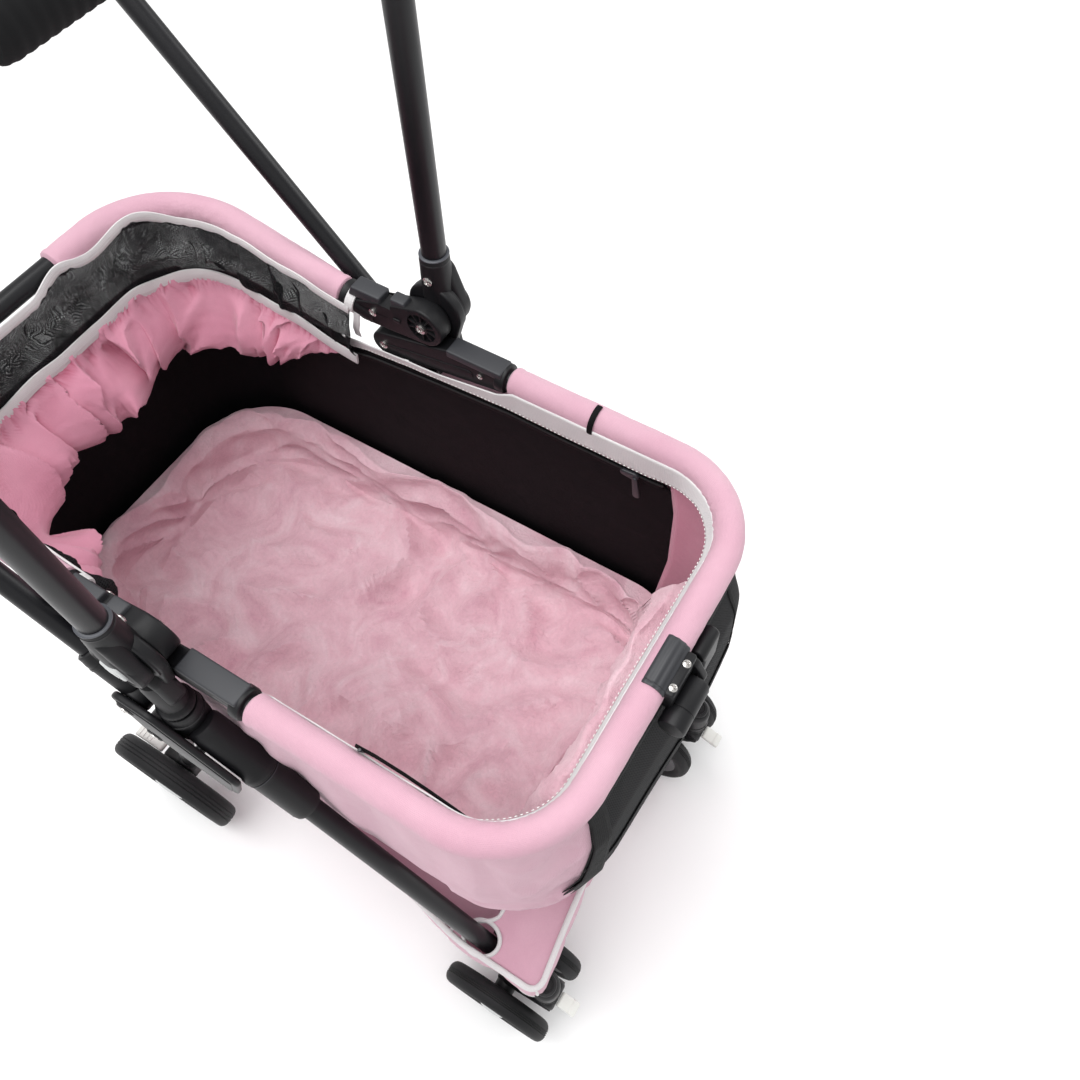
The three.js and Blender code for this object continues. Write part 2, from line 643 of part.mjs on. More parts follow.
function addBail() {
  for (const [side, s] of SIDES) {
    const disc = plateX(beltShape([
      { ...HUB_PIVOT, r: 25 },
      { y: HUB_PIVOT.y, z: BAIL_SOCKET_Z[0] + 6, r: 13 },
    ]), s * BAIL_DISC_X[0], s * BAIL_DISC_X[1], 1.5);
    const socket = rodZ(s * BAIL_X, HUB_PIVOT.y, BAIL_SOCKET_Z[0], BAIL_SOCKET_Z[1], 15.5);
    const bore = rodZ(s * BAIL_X, HUB_PIVOT.y, BAIL_SOCKET_Z[0] + 3, BAIL_SOCKET_Z[1] + 9, BAIL_R + 1);
    const room = BUTTON.pocket;
    const hollow = ellipseShape(HUB_PIVOT.y, HUB_PIVOT.z, BUTTON.ry + room, BUTTON.rz + room);
    const pocket = plateX(hollow, s * BUTTON.pocketX, s * 220);
    addPart(`bail_socket_${side}`, cut(join(disc, socket), bore, pocket), blackPlastic);

    const face = ellipseShape(HUB_PIVOT.y, HUB_PIVOT.z, BUTTON.ry, BUTTON.rz);
    const button = plateX(face, s * BUTTON.x[0], s * BUTTON.x[1], 1);
    addPart(`release_button_${side}`, button, palePlastic);

    const ringZ = BAIL_SOCKET_Z[1] + GAP;
    const ring = cut(rodZ(s * BAIL_X, HUB_PIVOT.y, ringZ, ringZ + BAIL_RING.height, BAIL_RING.r),
      rodZ(s * BAIL_X, HUB_PIVOT.y, ringZ - 3, ringZ + 8, BAIL_R + 1));
    addPart(`bail_ring_${side}`, ring, palePlastic);
  }
  const lean = (along) => HUB_PIVOT.y - (along - BAIL_SOCKET_Z[0]) * BAIL_LEAN;
  const rise = (x, along) => new THREE.Vector3(x, lean(along), along);
  const points = uPoints(BAIL_X, BAIL_TOP, BAIL_CORNER, rise, BAIL_SOCKET_Z[0] + 4, 6, 3);
  addPart('carry_bail', tubeAlong(points, BAIL_R, 10), satinTube);
  const at = { y: lean(BAIL_TOP), z: BAIL_TOP };
  const grip = cut(rodX(-BAIL_GRIP.half, BAIL_GRIP.half, at, BAIL_GRIP.r),
    rodX(-BAIL_GRIP.half - 20, BAIL_GRIP.half + 20, at, BAIL_R + 0.6));
  addPart('carry_bail_grip', grip, softGrip);
}

function addRims() {
  const front = uPoints(RIM_HALF, RIM_FRONT, RIM_FRONT_RADIUS, frontRimPoint, 72);
  addPart('front_rim_tube', tubeAlong(front, RIM_TUBE_R, 10), satinTube);
  const cover = uPoints(RIM_HALF, RIM_FRONT, RIM_FRONT_RADIUS, frontRimPoint, -ARM_FRONT_END + GAP);
  addPart('front_rim_sleeve', tubeAlong(cover, SLEEVE_R, 10, SLEEVE_BORE), pinkFabric);

  const rear = uPoints(RIM_HALF, HOOP_REACH, HOOP_RADIUS, hoopPoint, 50);
  addPart('rear_hoop_tube', tubeAlong(rear, RIM_TUBE_R, 10), satinTube);
  const whole = uPoints(RIM_HALF, HOOP_REACH, HOOP_RADIUS, hoopPoint, ARM_REAR_LENGTH + GAP);
  const middle = Math.floor(whole.length / 2);
  const half = whole.slice(0, middle);
  half.push(hoopPoint(-HOOP_BARE_HALF, HOOP_REACH));
  for (const [side, s] of SIDES) {
    const points = half.map((p) => p.clone().setX(-s * p.x));
    addPart(`rear_hoop_sleeve_${side}`, tubeAlong(points, SLEEVE_R, 10, SLEEVE_BORE), pinkFabric);
  }

  const outer = RIM_FRONT + SLEEVE_R;
  const plate = new THREE.BoxGeometry(...CLAMP_PLATE).translate(0, -outer - CLAMP_PLATE[1] / 2 - GAP, RIM_Z);
  const lock = rodX(...CLAMP_LOCK.x, CLAMP_LOCK, CLAMP_LOCK.r);
  addPart('front_clamp', join(plate, lock), blackPlastic);
}

function addCabin() {
  const shell = cut(cabinShell(), frontWindow(0));
  addPart('cabin_shell', shell, pinkFabric);
  const panel = toGeometry(toSolid(cabinShell()).intersect(toSolid(frontWindow(0.5))));
  addPart('cabin_front_mesh', panel, blackMesh);

  const floorZ = RIM_Z - BASKET_DEPTH + BASKET_WALL + GAP;
  const board = plateOf(outlineRing(FLOOR_BOARD), floorZ, floorZ + BOARD_THICKNESS);
  addPart('cabin_floor_board', board, blackPlastic);
  const padLow = floorZ + BOARD_THICKNESS + GAP;
  const padRing = (half, front, rear, z) => outlineRing({
    half, front: -front, rear, frontRadius: 74, rearRadius: 90, z,
  });
  const padSeat = padLow + PAD_THICKNESS;
  const padBorder = (lift) => (y) => {
    const climbed = THREE.MathUtils.smoothstep(-y, -PAD_RISE_Y[0], -PAD_RISE_Y[1]);
    return PAD_TOP + lift + PAD_FRONT_RISE * climbed;
  };
  const pad = vessel([
    padRing(128, 280, 232, padSeat),
    padRing(143, 300, 250, padSeat + 12),
    padRing(147, 308, 262, padBorder(-12)),
    padRing(153, 316, 270, padBorder(0)),
    padRing(162, 325, 278, padBorder(-4)),
    padRing(165, 328, 281, padBorder(-16)),
    padRing(165, 334, 281, PAD_TOP - 16),
    padRing(157, 318, 268, RIM_Z - 283),
    padRing(145, 303, 254, RIM_Z - 303),
    padRing(130, 288, 240, padLow),
  ]);
  addPart('cabin_floor_pad', pad, plush);

  const band = uPoints(RIM_HALF - COVER_INSET, HOOP_REACH - COVER_INSET, HOOP_RADIUS - COVER_INSET + 8,
    (x, along) => hoopPoint(x, along).add(new THREE.Vector3(0, 0, -COVER_DROP)),
    ARM_REAR_LENGTH + 24, 6, 3);
  const section = new THREE.Shape();
  section.absellipse(0, 0, COVER_HALF_WIDTH, COVER_HALF_HEIGHT, 0, 2 * Math.PI);
  addPart('gathered_cover', new THREE.ExtrudeGeometry(section, {
    steps: band.length - 1,
    curveSegments: 5,
    extrudePath: new StationCurve(band),
    bevelEnabled: false,
  }), pinkFabric);
}

function storageRing(grow, z) {
  const [wide, narrow] = STORAGE_HALF.map((half) => half + grow);
  const [front, widened, narrowed, back] = STORAGE_Y;
  const corners = [
    [narrow, back + grow], [-narrow, back + grow], [-narrow, narrowed], [-wide, widened],
    [-wide, front - grow], [wide, front - grow], [wide, widened], [narrow, narrowed],
  ];
  const ring = [];
  corners.forEach(([x, y], i) => {
    const [nx, ny] = corners[(i + 1) % corners.length];
    for (let k = 0; k < 4; k += 1) {
      ring.push(new THREE.Vector3(x + ((nx - x) * k) / 4, y + ((ny - y) * k) / 4, z));
    }
  });
  return ring;
}

function addStorageBasket() {
  const wall = STORAGE_WALL;
  const [low, high] = STORAGE_Z;
  const body = vessel([
    storageRing(-30 - wall, low + wall),
    storageRing(-10 - wall, low + wall + 2),
    storageRing(-2 - wall, low + 22),
    storageRing(-wall, high),
    storageRing(0, high),
    storageRing(-2, low + 22),
    storageRing(-10, low + 2),
    storageRing(-30, low),
  ]);
  const holes = [];
  for (const [, s] of SIDES) {
    holes.push(rod(legPoint(s, 300), legPoint(s, 620), LEG_R + 5));
    holes.push(rodZ(s * CASTER.x, CASTER.y, 100, 300, 22));
  }
  addPart('storage_basket', cut(body, ...holes), pinkFabric);
}

for (const [side, s] of SIDES) {
  addFrontFrame(side, s);
  addCaster(side, s);
  addRearLeg(side, s);
  addCarrierHub(side, s);
  addHandleKnuckle(side, s);
}
addFrontBar();
addRearBar();
addPushHandle();
addBail();
addRims();
addCabin();
addStorageBasket();

export default stroller;
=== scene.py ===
import math

import bmesh
import bpy
import numpy as np
from mathutils import Matrix, Vector, noise


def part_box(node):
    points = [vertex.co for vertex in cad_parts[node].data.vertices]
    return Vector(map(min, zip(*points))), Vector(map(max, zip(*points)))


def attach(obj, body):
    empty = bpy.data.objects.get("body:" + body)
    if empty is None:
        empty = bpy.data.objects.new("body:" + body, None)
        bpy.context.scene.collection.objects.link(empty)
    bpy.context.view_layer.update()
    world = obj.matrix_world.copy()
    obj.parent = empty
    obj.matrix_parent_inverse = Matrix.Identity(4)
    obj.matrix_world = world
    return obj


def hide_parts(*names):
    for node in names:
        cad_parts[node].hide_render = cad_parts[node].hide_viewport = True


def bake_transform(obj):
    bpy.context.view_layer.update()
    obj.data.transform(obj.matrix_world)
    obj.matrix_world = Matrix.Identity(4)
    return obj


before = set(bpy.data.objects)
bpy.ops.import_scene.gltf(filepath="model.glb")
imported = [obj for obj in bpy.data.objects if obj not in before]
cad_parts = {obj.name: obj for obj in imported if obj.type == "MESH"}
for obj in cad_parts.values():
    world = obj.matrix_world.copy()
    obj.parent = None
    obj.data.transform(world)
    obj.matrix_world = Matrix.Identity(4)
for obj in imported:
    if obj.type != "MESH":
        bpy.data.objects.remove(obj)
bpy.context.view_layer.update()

# ---- layout taken from the frame ------------------------------------------------------------
rim_low, rim_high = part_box("front_rim_tube")
RIM = 500 * (rim_low.z + rim_high.z)
SHIFT = 1000 * rim_low.y + 355.5
TILT = math.radians(12)
UP = np.array([0.0, 0.0, 1.0])
X = np.array([1.0, 0.0, 0.0])
SIDES = (("right", -1), ("left", 1))
RIM_HALF, RIM_FRONT, RIM_RADIUS = 180, 346, 79
HOOP_REACH, HOOP_RADIUS = 298, 96
HOOP_UP = np.array([0, -math.sin(TILT), math.cos(TILT)])
HOOP_WAY = np.array([0, math.cos(TILT), math.sin(TILT)])


def row(points):
    """Layout millimetres as the row frame's metres."""
    return (np.asarray(points, float) + [0, SHIFT, 0]) / 1000


# ---- materials --------------------------------------------------------------------------------
def linear(r, g, b):
    """A colour of a picture, 0 to 255, as Blender's linear one."""
    channel = [c / 255 for c in (r, g, b)]
    return [c / 12.92 if c <= 0.04045 else ((c + 0.055) / 1.055) ** 2.4 for c in channel] + [1.0]


class Surface:
    """A procedural material with the slot its pieces take: short calls that add nodes round one
    Principled shader."""

    def __init__(self, name, slot, **constants):
        self.slot = slot
        self.material = bpy.data.materials.new(name)
        self.material.use_nodes = True
        self.tree = self.material.node_tree
        self.shader = self.tree.nodes["Principled BSDF"]
        for key, value in constants.items():
            self.shader.inputs[key.replace("_", " ")].default_value = value

    def node(self, kind, inputs=(), **settings):
        made = self.tree.nodes.new("ShaderNode" + kind)
        for key, value in settings.items():
            setattr(made, key, value)
        for key, value in dict(inputs).items():
            if isinstance(value, bpy.types.NodeSocket):
                self.tree.links.new(value, made.inputs[key])
            else:
                made.inputs[key].default_value = value
        return made

    def place(self, uv=False, turn=0.0):
        source = self.node("TexCoord").outputs["UV" if uv else "Object"]
        return self.node("Mapping", {"Vector": source, "Rotation": (0, 0, turn)}).outputs[0]

    def noise(self, scale, detail=2.0, rough=0.5, distortion=0.0):
        inputs = {"Vector": self.place(), "Scale": scale, "Detail": detail, "Roughness": rough,
                  "Distortion": distortion}
        return self.node("TexNoise", inputs).outputs["Fac"]

    def wave(self, scale, where, axis="X"):
        inputs = {"Vector": where, "Scale": scale, "Distortion": 0.0}
        return self.node("TexWave", inputs, bands_direction=axis).outputs["Fac"]

    def math(self, operation, a, b):
        return self.node("Math", {0: a, 1: b}, operation=operation).outputs[0]

    def ramp(self, fac, *stops):
        made = self.node("ValToRGB", {"Fac": fac})
        elements = made.color_ramp.elements
        while len(elements) < len(stops):
            elements.new(0.5)
        for element, (at, colour) in zip(elements, stops):
            element.position = at
            element.color = colour if hasattr(colour, "__len__") else [colour] * 3 + [1]
        return made.outputs["Color"]

    def mix(self, fac, a, b, blend="MIX"):
        made = self.node("Mix", (), data_type="RGBA", blend_type=blend)
        for socket, value in ((made.inputs[0], fac), (made.inputs[6], a), (made.inputs[7], b)):
            if isinstance(value, bpy.types.NodeSocket):
                self.tree.links.new(value, socket)
            else:
                socket.default_value = value
        return made.outputs[2]

    def bump(self, *layers):
        normal = None
        for height, distance, strength in layers:
            inputs = {"Height": height, "Distance": distance, "Strength": strength}
            if normal is not None:
                inputs["Normal"] = normal
            normal = self.node("Bump", inputs).outputs[0]
        self.tree.links.new(normal, self.shader.inputs["Normal"])
        return self

    def feed(self, **sockets):
        for key, value in sockets.items():
            self.tree.links.new(value, self.shader.inputs[key.replace("_", " ")])
        return self


def weave(surface, threads, uv):
    """Over-and-under threads as one height, so many threads to a metre."""
    if uv:
        where = surface.place(uv=True)
        across = surface.wave(threads, where, "X")
        along = surface.wave(threads, where, "Y")
        return surface.math("MULTIPLY", across, along)
    where = surface.place()
    total = surface.wave(threads, where, "X")
    for axis in "YZ":
        total = surface.math("ADD", total, surface.wave(threads, where, axis))
    return surface.math("MULTIPLY", total, 0.33)


def canvas(name, slot, light, dark, threads=260.0, uv=True, gloss=0.82, sheen=0.25, shine=0.25, fold_shade=None):
    """Woven cloth in two near shades, with soft folds, threads and slubs, and, when given a shade colour,
    painted shade darkening its hollow folds.
    """
    made = Surface(name, slot, Roughness=gloss, Sheen_Weight=sheen, Sheen_Roughness=0.4)
    made.shader.inputs["Specular IOR Level"].default_value = shine
    patches = made.noise(9.0, 4.0, 0.6)
    threads_height = weave(made, threads, uv)
    slubs = made.noise(900.0, 2.0, 0.6)
    colour = made.ramp(patches, (0.3, dark), (0.7, light))
    colour = made.mix(0.16, colour, made.ramp(slubs, (0.25, 0.55), (0.75, 1.0)), "MULTIPLY")
    colour = made.mix(0.14, colour, made.ramp(threads_height, (0.0, 0.6), (0.6, 1.0)), "MULTIPLY")
    # painted shade: hollow folds, found by low pointiness, are darkened towards a deeper pink
    if fold_shade:
        hollow = made.ramp(made.node("NewGeometry").outputs["Pointiness"], (0.44, 0.85), (0.495, 0.0))
        colour = made.mix(hollow, colour, fold_shade)
    soft_folds = made.noise(38.0, 3.0, 0.55, distortion=0.4)
    return made.feed(Base_Color=colour).bump(
        (soft_folds, 0.004, 0.35), (threads_height, 0.0006, 0.5), (slubs, 0.0003, 0.4))


def moulded(name, slot, colour, gloss=0.42, grain=700.0, scuff=1.25, **constants):
    """Plastic, paint, rubber or metal with a fine grain, uneven gloss and worn edges."""
    made = Surface(name, slot, **constants)
    grain_height = made.noise(grain, 3.0, 0.6)
    wear = made.noise(14.0, 5.0, 0.65)
    edge = made.node("NewGeometry").outputs["Pointiness"]
    worn = made.ramp(edge, (0.49, 0.0), (0.56, 0.35))
    brighter = [min(1.0, c * scuff) for c in colour[:3]] + [1]
    tone = made.ramp(wear, (0.35, colour), (0.75, brighter))
    edge_colour = [min(1.0, c * 1.6 + 0.01) for c in colour[:3]] + [1]
    rough = made.node("MapRange", {"Value": wear, "To Min": gloss - 0.06, "To Max": gloss + 0.12}).outputs[0]
    made.feed(Base_Color=made.mix(worn, tone, edge_colour), Roughness=rough)
    return made.bump((grain_height, 0.0003, 0.25), (wear, 0.0006, 0.12))


def grey(level, blue=0):
    return linear(level, level, level + blue)


pink = canvas("pink_canvas", "pink_fabric", linear(213, 171, 186), linear(203, 157, 174))
# deeper pink cloth for the gathered cover and front facing, with painted shade in its folds
gathered_pink_fold_shaded = canvas("pink_canvas_gathered_fold_shaded", "pink_fabric", linear(221, 156, 176), linear(211, 139, 162),
                       fold_shade=linear(168, 70, 98))
binding = canvas("white_binding", "pink_fabric", linear(226, 224, 224), linear(212, 209, 210), threads=190.0)
lining = canvas("black_nylon_lining", "black_mesh", grey(8, 3), grey(4, 2), threads=420.0, gloss=0.6,
                sheen=0.0, shine=0.12)
black_tape = canvas("black_webbing", "black_mesh", grey(10, 2), grey(6, 2), threads=170.0, gloss=0.7,
                    sheen=0.0, shine=0.15)
board = canvas("floor_board_cover", "black_plastic", grey(24, 3), grey(15, 2), threads=300.0, uv=False)
tube_paint = moulded("satin_black_paint", "frame_tube", grey(9, 4), gloss=0.34, grain=1500.0,
                     Coat_Weight=0.1, Coat_Roughness=0.25, Specular_IOR_Level=0.3)
plastic = moulded("moulded_black_plastic", "black_plastic", grey(10, 3), Specular_IOR_Level=0.3)
plastic_top = moulded("moulded_grey_black_plastic", "black_plastic", linear(38, 39, 43), gloss=0.48)
dark_recess = moulded("recess_black", "black_plastic", grey(9, 2), gloss=0.6)
rim_grey = moulded("wheel_rim_plastic", "black_plastic", linear(36, 37, 41), gloss=0.32)
pale = moulded("off_white_plastic", "pale_plastic", linear(212, 212, 206), gloss=0.38, scuff=1.06)
nickel = moulded("nickel_screw", "pale_plastic", linear(196, 193, 190), gloss=0.22, grain=900.0, scuff=1.05,
                 Metallic=1.0)
grey_cap = moulded("grey_cap_plastic", "grey_plastic", linear(178, 180, 180), gloss=0.3, scuff=1.08)
ring_grey = moulded("ring_grey_plastic", "grey_plastic", linear(58, 60, 66), gloss=0.38)
tyre = moulded("tyre_rubber", "tyre", grey(11, 2), gloss=0.6, grain=380.0, scuff=1.7, Specular_IOR_Level=0.3)
foam = moulded("foam_grip", "soft_grip", grey(9, 2), gloss=0.85, grain=500.0, Specular_IOR_Level=0.25)


def plush_material():
    made = Surface("pink_plush", "plush", Roughness=0.95, Sheen_Weight=0.7, Sheen_Roughness=0.5)
    made.shader.inputs["Sheen Tint"].default_value = linear(255, 225, 232)
    made.shader.inputs["Specular IOR Level"].default_value = 0.1
    brushed = made.noise(16.0, 5.0, 0.62, distortion=1.2)
    tufts = made.noise(260.0, 3.0, 0.7, distortion=0.6)
    pile = made.noise(1100.0, 2.0, 0.6)
    colour = made.ramp(brushed, (0.32, linear(212, 164, 178)), (0.5, linear(224, 183, 194)),
                       (0.72, linear(232, 202, 210)))
    colour = made.mix(0.35, colour, made.ramp(tufts, (0.3, 0.72), (0.65, 1.0)), "MULTIPLY")
    return made.feed(Base_Color=colour).bump(
        (brushed, 0.006, 0.45), (tufts, 0.0022, 0.6), (pile, 0.0007, 0.6))


def net_material(name, colour, pitch, least, most, thin):
    """Knitted net: threads both ways, thin to look through between them. least and most are how
    much it covers in the middle of a cell and on a thread, and thin is its cover where it is
    stretched most."""
    made = Surface(name, "black_mesh", Roughness=0.75, Specular_IOR_Level=0.15)
    where = made.place(uv=True, turn=math.radians(38))
    rows = made.wave(1 / pitch, where, "X")
    columns = made.wave(0.62 / pitch, where, "Y")
    threads = made.math("MAXIMUM", rows, columns)
    uneven = made.noise(16.0, 4.0)
    cover = made.ramp(threads, (0.35, least), (0.85, most))
    cover = made.mix(1.0, cover, made.ramp(uneven, (0.3, thin), (0.6, 1.0)), "MULTIPLY")
    lighter = [c * 2.4 + 0.006 for c in colour[:3]] + [1]
    return made.feed(Base_Color=made.ramp(threads, (0.4, colour), (1.0, lighter)), Alpha=cover).bump(
        (threads, 0.0005, 0.5))


plush = plush_material()
net = net_material("black_net", grey(10, 2), 0.0058, 0.62, 0.99, 0.8)
front_net = net_material("black_net_dense", grey(7, 2), 0.0064, 0.992, 1.0, 0.998)


# ---- meshes -----------------------------------------------------------------------------------
class Shape:
    """Points in layout millimetres, faces, and a texture place for each point, in metres."""

    def __init__(self, points, faces, uv=None):
        self.points = np.asarray(points, float).reshape(-1, 3)
        self.faces = [list(map(int, f)) for f in faces]
        self.uv = np.zeros((len(self.points), 2)) if uv is None else np.asarray(uv, float)

    def __add__(self, other):
        start = len(self.points)
        return Shape(
            np.vstack([self.points, other.points]),
            self.faces + [[i + start for i in f] for f in other.faces],
            np.vstack([self.uv, other.uv]),
        )

    def mirrored(self):
        return Shape(self.points * [-1, 1, 1], [f[::-1] for f in self.faces], self.uv)

    def side(self, s):
        return self if s > 0 else self.mirrored()


def total(shapes):
    shapes = list(shapes)
    result = shapes[0]
    for shape in shapes[1:]:
        result = result + shape
    return result


def grid(points, wrap=False, caps=False):
    """Faces between the rows of a (rows, columns, 3) array, closed round each row if wrap."""
    points = np.asarray(points, float)
    n, k = points.shape[:2]
    columns = k if wrap else k - 1
    faces = [
        (i * k + j, i * k + (j + 1) % k, (i + 1) * k + (j + 1) % k, (i + 1) * k + j)
        for i in range(n - 1) for j in range(columns)
    ]
    across = np.linalg.norm(np.diff(points, axis=1, append=points[:, -1:]), axis=2).cumsum(1)
    along = np.linalg.norm(np.diff(points, axis=0, prepend=points[:1]), axis=2).cumsum(0)
    uv = np.stack([across, along], 2).reshape(-1, 2) / 1000
    flat = points.reshape(-1, 3)
    if caps:
        ends = np.array([points[0].mean(0), points[-1].mean(0)])
        flat, uv = np.vstack([flat, ends]), np.vstack([uv, uv[[0, -1]]])
        for j in range(k):
            faces.append((n * k, (j + 1) % k, j))
            faces.append((n * k + 1, (n - 1) * k + j, (n - 1) * k + (j + 1) % k))
    return Shape(flat, faces, uv)


def unit(v):
    v = np.asarray(v, float)
    return v / np.maximum(np.linalg.norm(v, axis=-1, keepdims=True), 1e-12)


def turns(count):
    """Angles evenly round a circle."""
    return np.arange(count) * 2 * math.pi / count


def lengths_of(path):
    """How far along a path each of its points is."""
    return np.concatenate([[0], np.linalg.norm(np.diff(path, axis=0), axis=1).cumsum()])


def even(path, count):
    """A path of so many points, evenly spaced along another."""
    lengths = lengths_of(path)
    at = np.linspace(0, lengths[-1], count)
    return np.stack([np.interp(at, lengths, path[:, k]) for k in range(3)], 1)


def refine(path, step):
    """A path with its points about a step apart."""
    path = np.asarray(path, float)
    return even(path, max(2, int(lengths_of(path)[-1] / step) + 1))


def between(rows, at):
    """Rows part of the way between those of an array, by their places in it."""
    low = np.clip(np.floor(at).astype(int), 0, len(rows) - 2)
    share = (at - low)[:, None, None]
    return rows[low] * (1 - share) + rows[low + 1] * share


def smooth(t):
    """Rises gently from 0 to 1 as t goes from 0 to 1."""
    t = np.clip(t, 0, 1)
    return t * t * (3 - 2 * t)


def frames(path, ref):
    """Along, inward and upward axes at each point of a path; ref says which way is up."""
    along = unit(np.gradient(path, axis=0))
    ref = np.broadcast_to(ref, path.shape)
    upward = unit(ref - (ref * along).sum(1)[:, None] * along)
    return along, np.cross(upward, along), upward


def sweep(path, section, ref=UP, caps=True):
    """A section of (inward, upward) points, one or one per path point, carried along a path."""
    path = np.asarray(path, float)
    _, inward, upward = frames(path, ref)
    section = np.asarray(section, float)
    if section.ndim == 2:
        section = np.broadcast_to(section, (len(path), *section.shape))
    points = path[:, None] + section[:, :, :1] * inward[:, None] + section[:, :, 1:] * upward[:, None]
    return grid(points, wrap=True, caps=caps)


def circle(radius, sides):
    a = turns(sides)
    return np.stack([radius * np.cos(a), radius * np.sin(a)], 1)


def lathe(profile, at, axis, sides=32, closed=False):
    """Turns a list of (radius, distance along axis) round an axis through a point, as a bar
    with ends or, if closed, as a ring."""
    axis = unit(axis)
    other = unit(np.cross(axis, [0.31, 0.2, 0.93] if abs(axis[2]) < 0.9 else [1, 0, 0]))
    third = np.cross(axis, other)
    a = turns(sides)
    ring = np.cos(a)[:, None] * other + np.sin(a)[:, None] * third
    profile = [*profile, profile[0]] if closed else profile
    rows = [np.asarray(at) + h * axis + r * ring for r, h in profile]
    return grid(rows, wrap=True, caps=not closed)


def rounded(radius, length, edge=1.2):
    """Profile of a bar with softened ends, for lathe."""
    turn = [math.pi / 2 * i / 3 for i in range(4)]
    first = [(radius - edge + edge * math.sin(t), edge - edge * math.cos(t)) for t in turn]
    return first + [(r, length - h) for r, h in reversed(first)]


def rod(a, b, radius, edge=1.2, sides=28):
    a, b = np.asarray(a, float), np.asarray(b, float)
    return lathe(rounded(radius, np.linalg.norm(b - a), edge), a, b - a, sides)


def belt(circles, grow=0.0, steps=72):
    """Points (y, z) round the outside of a belt over circles (y, z, r)."""
    a = turns(steps)
    ways = np.stack([np.cos(a), np.sin(a)], 1)
    c = np.asarray(circles, float)
    best = (c[None, :, :2] * ways[:, None]).sum(2) + c[None, :, 2]
    chosen = c[best.argmax(1)]
    return chosen[:, :2] + (chosen[:, 2:] + grow) * ways


def plate(circles, xa, xb, edge=2.0, steps=72, rounding=3):
    """A belt outline as a solid between two planes of x, with rounded edges."""
    low, high = min(xa, xb), max(xa, xb)
    rows = []
    for i in range(rounding + 1):
        t = math.pi / 2 * i / rounding
        rows.append((low + edge * (1 - math.cos(t)), -edge + edge * math.sin(t)))
    rows += [(low + high - x, g) for x, g in reversed(rows)]
    points = []
    for x, g in rows:
        outline = belt(circles, g, steps)
        points.append(np.column_stack([np.full(len(outline), x), outline]))
    return grid(points, wrap=True, caps=True)


def block(low, high, edge=2.0, taper=(0.0, 0.0)):
    """A box with rounded edges: a plate whose four circles sit in the corners."""
    (xa, ya, za), (xb, yb, zb) = low, high
    r = edge + 0.3
    circles = [(ya + r, za + r, r), (yb - r, za + r, r),
               (yb - r - taper[1], zb - r, r), (ya + r + taper[0], zb - r, r)]
    return plate(circles, xa, xb, edge, steps=40)


def screw(at, axis, radius=4.2, height=2.2):
    """A pan-head screw with a sunk cross."""
    at, axis = np.asarray(at, float), unit(axis)
    other = unit(np.cross(axis, [0.2, 0.5, 0.83]))
    third = np.cross(axis, other)
    rings, sides = 9, 32
    rows = [[at - 0.5 * axis + radius * (math.cos(t) * other + math.sin(t) * third) for t in turns(sides)]]
    for i in range(rings):
        r = radius * math.cos(math.pi / 2 * (i / (rings - 0.6)) ** 1.3)
        dome = height * (1 - (r / radius) ** 2 * 0.55)
        if i == 0:
            dome = height * 0.4
        ring = []
        for t in turns(sides):
            u, v = r * math.cos(t), r * math.sin(t)
            arm = min(abs(u), abs(v)) < radius * 0.14 and r < radius * 0.62
            ring.append(at + (dome - (height * 0.55 if arm else 0)) * axis + u * other + v * third)
        rows.append(ring)
    return grid(np.array(rows), wrap=True, caps=True)


def u_path(half, reach, radius, place, start, step=5.0):
    """Points of a U at an even spacing: out along one leg, round two corners and back."""
    leg = max(2, int((reach - radius - start) / step))
    corner = max(6, int(radius * math.pi / 2 / step))
    span = max(2, int((2 * half - 2 * radius) / step))
    flat = [(-half, start + (reach - radius - start) * i / leg) for i in range(leg)]
    for i in range(corner):
        a = math.pi / 2 * i / corner
        flat.append((-half + radius - radius * math.cos(a), reach - radius + radius * math.sin(a)))
    first = list(flat)
    flat += [(-half + radius + (2 * half - 2 * radius) * i / span, reach) for i in range(span)]
    flat.append((half - radius, reach))
    flat += [(-x, y) for x, y in reversed(first)]
    return np.array([place(x, y) for x, y in flat])


def rim_point(x, along):
    return np.array([x, -along, RIM])


def hoop_point(x, along):
    return np.array([x, 5, RIM + 3]) + along * HOOP_WAY


def wobble(p, scale, seed):
    """Smooth noise at a point, with bumps about as wide as scale; each seed gives another pattern."""
    return noise.noise(Vector((p[0] / scale + seed, p[1] / scale + 1.7 * seed, p[2] / scale - seed)))


# ---- objects ----------------------------------------------------------------------------------
SHARP = math.radians(38)


def make(name, shape, surface, body, replaces=(), slot=None):
    """Turns a shape into an object of the scene that rides on a body and has a material. Its slot argument is
    not used."""
    mesh = bpy.data.meshes.new(name)
    mesh.from_pydata(row(shape.points).tolist(), [], shape.faces)
    layer = mesh.uv_layers.new(name="UVMap")
    loops = np.zeros(len(mesh.loops), int)
    mesh.loops.foreach_get("vertex_index", loops)
    layer.data.foreach_set("uv", shape.uv[loops].astype(np.float32).ravel())
    work = bmesh.new()
    work.from_mesh(mesh)
    bmesh.ops.remove_doubles(work, verts=work.verts, dist=2e-6)
    bmesh.ops.dissolve_degenerate(work, edges=work.edges, dist=1e-6)
    bmesh.ops.recalc_face_normals(work, faces=work.faces)
    for face in work.faces:
        face.smooth = True
    for edge in work.edges:
        if len(edge.link_faces) == 2 and edge.calc_face_angle(0) > SHARP:
            edge.smooth = False
    work.to_mesh(mesh)
    work.free()
    made = bpy.data.objects.new(name, mesh)
    bpy.context.scene.collection.objects.link(made)
    mesh.materials.append(surface.material)
    if body:
        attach(made, body)
    slot or surface.slot
    if replaces:
        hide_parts(*replaces)
    return made


def casting(node, shape, body):
    """A moulded black casting that stands for one CAD node."""
    make(f"{node}_casting", shape, plastic, body, [node])


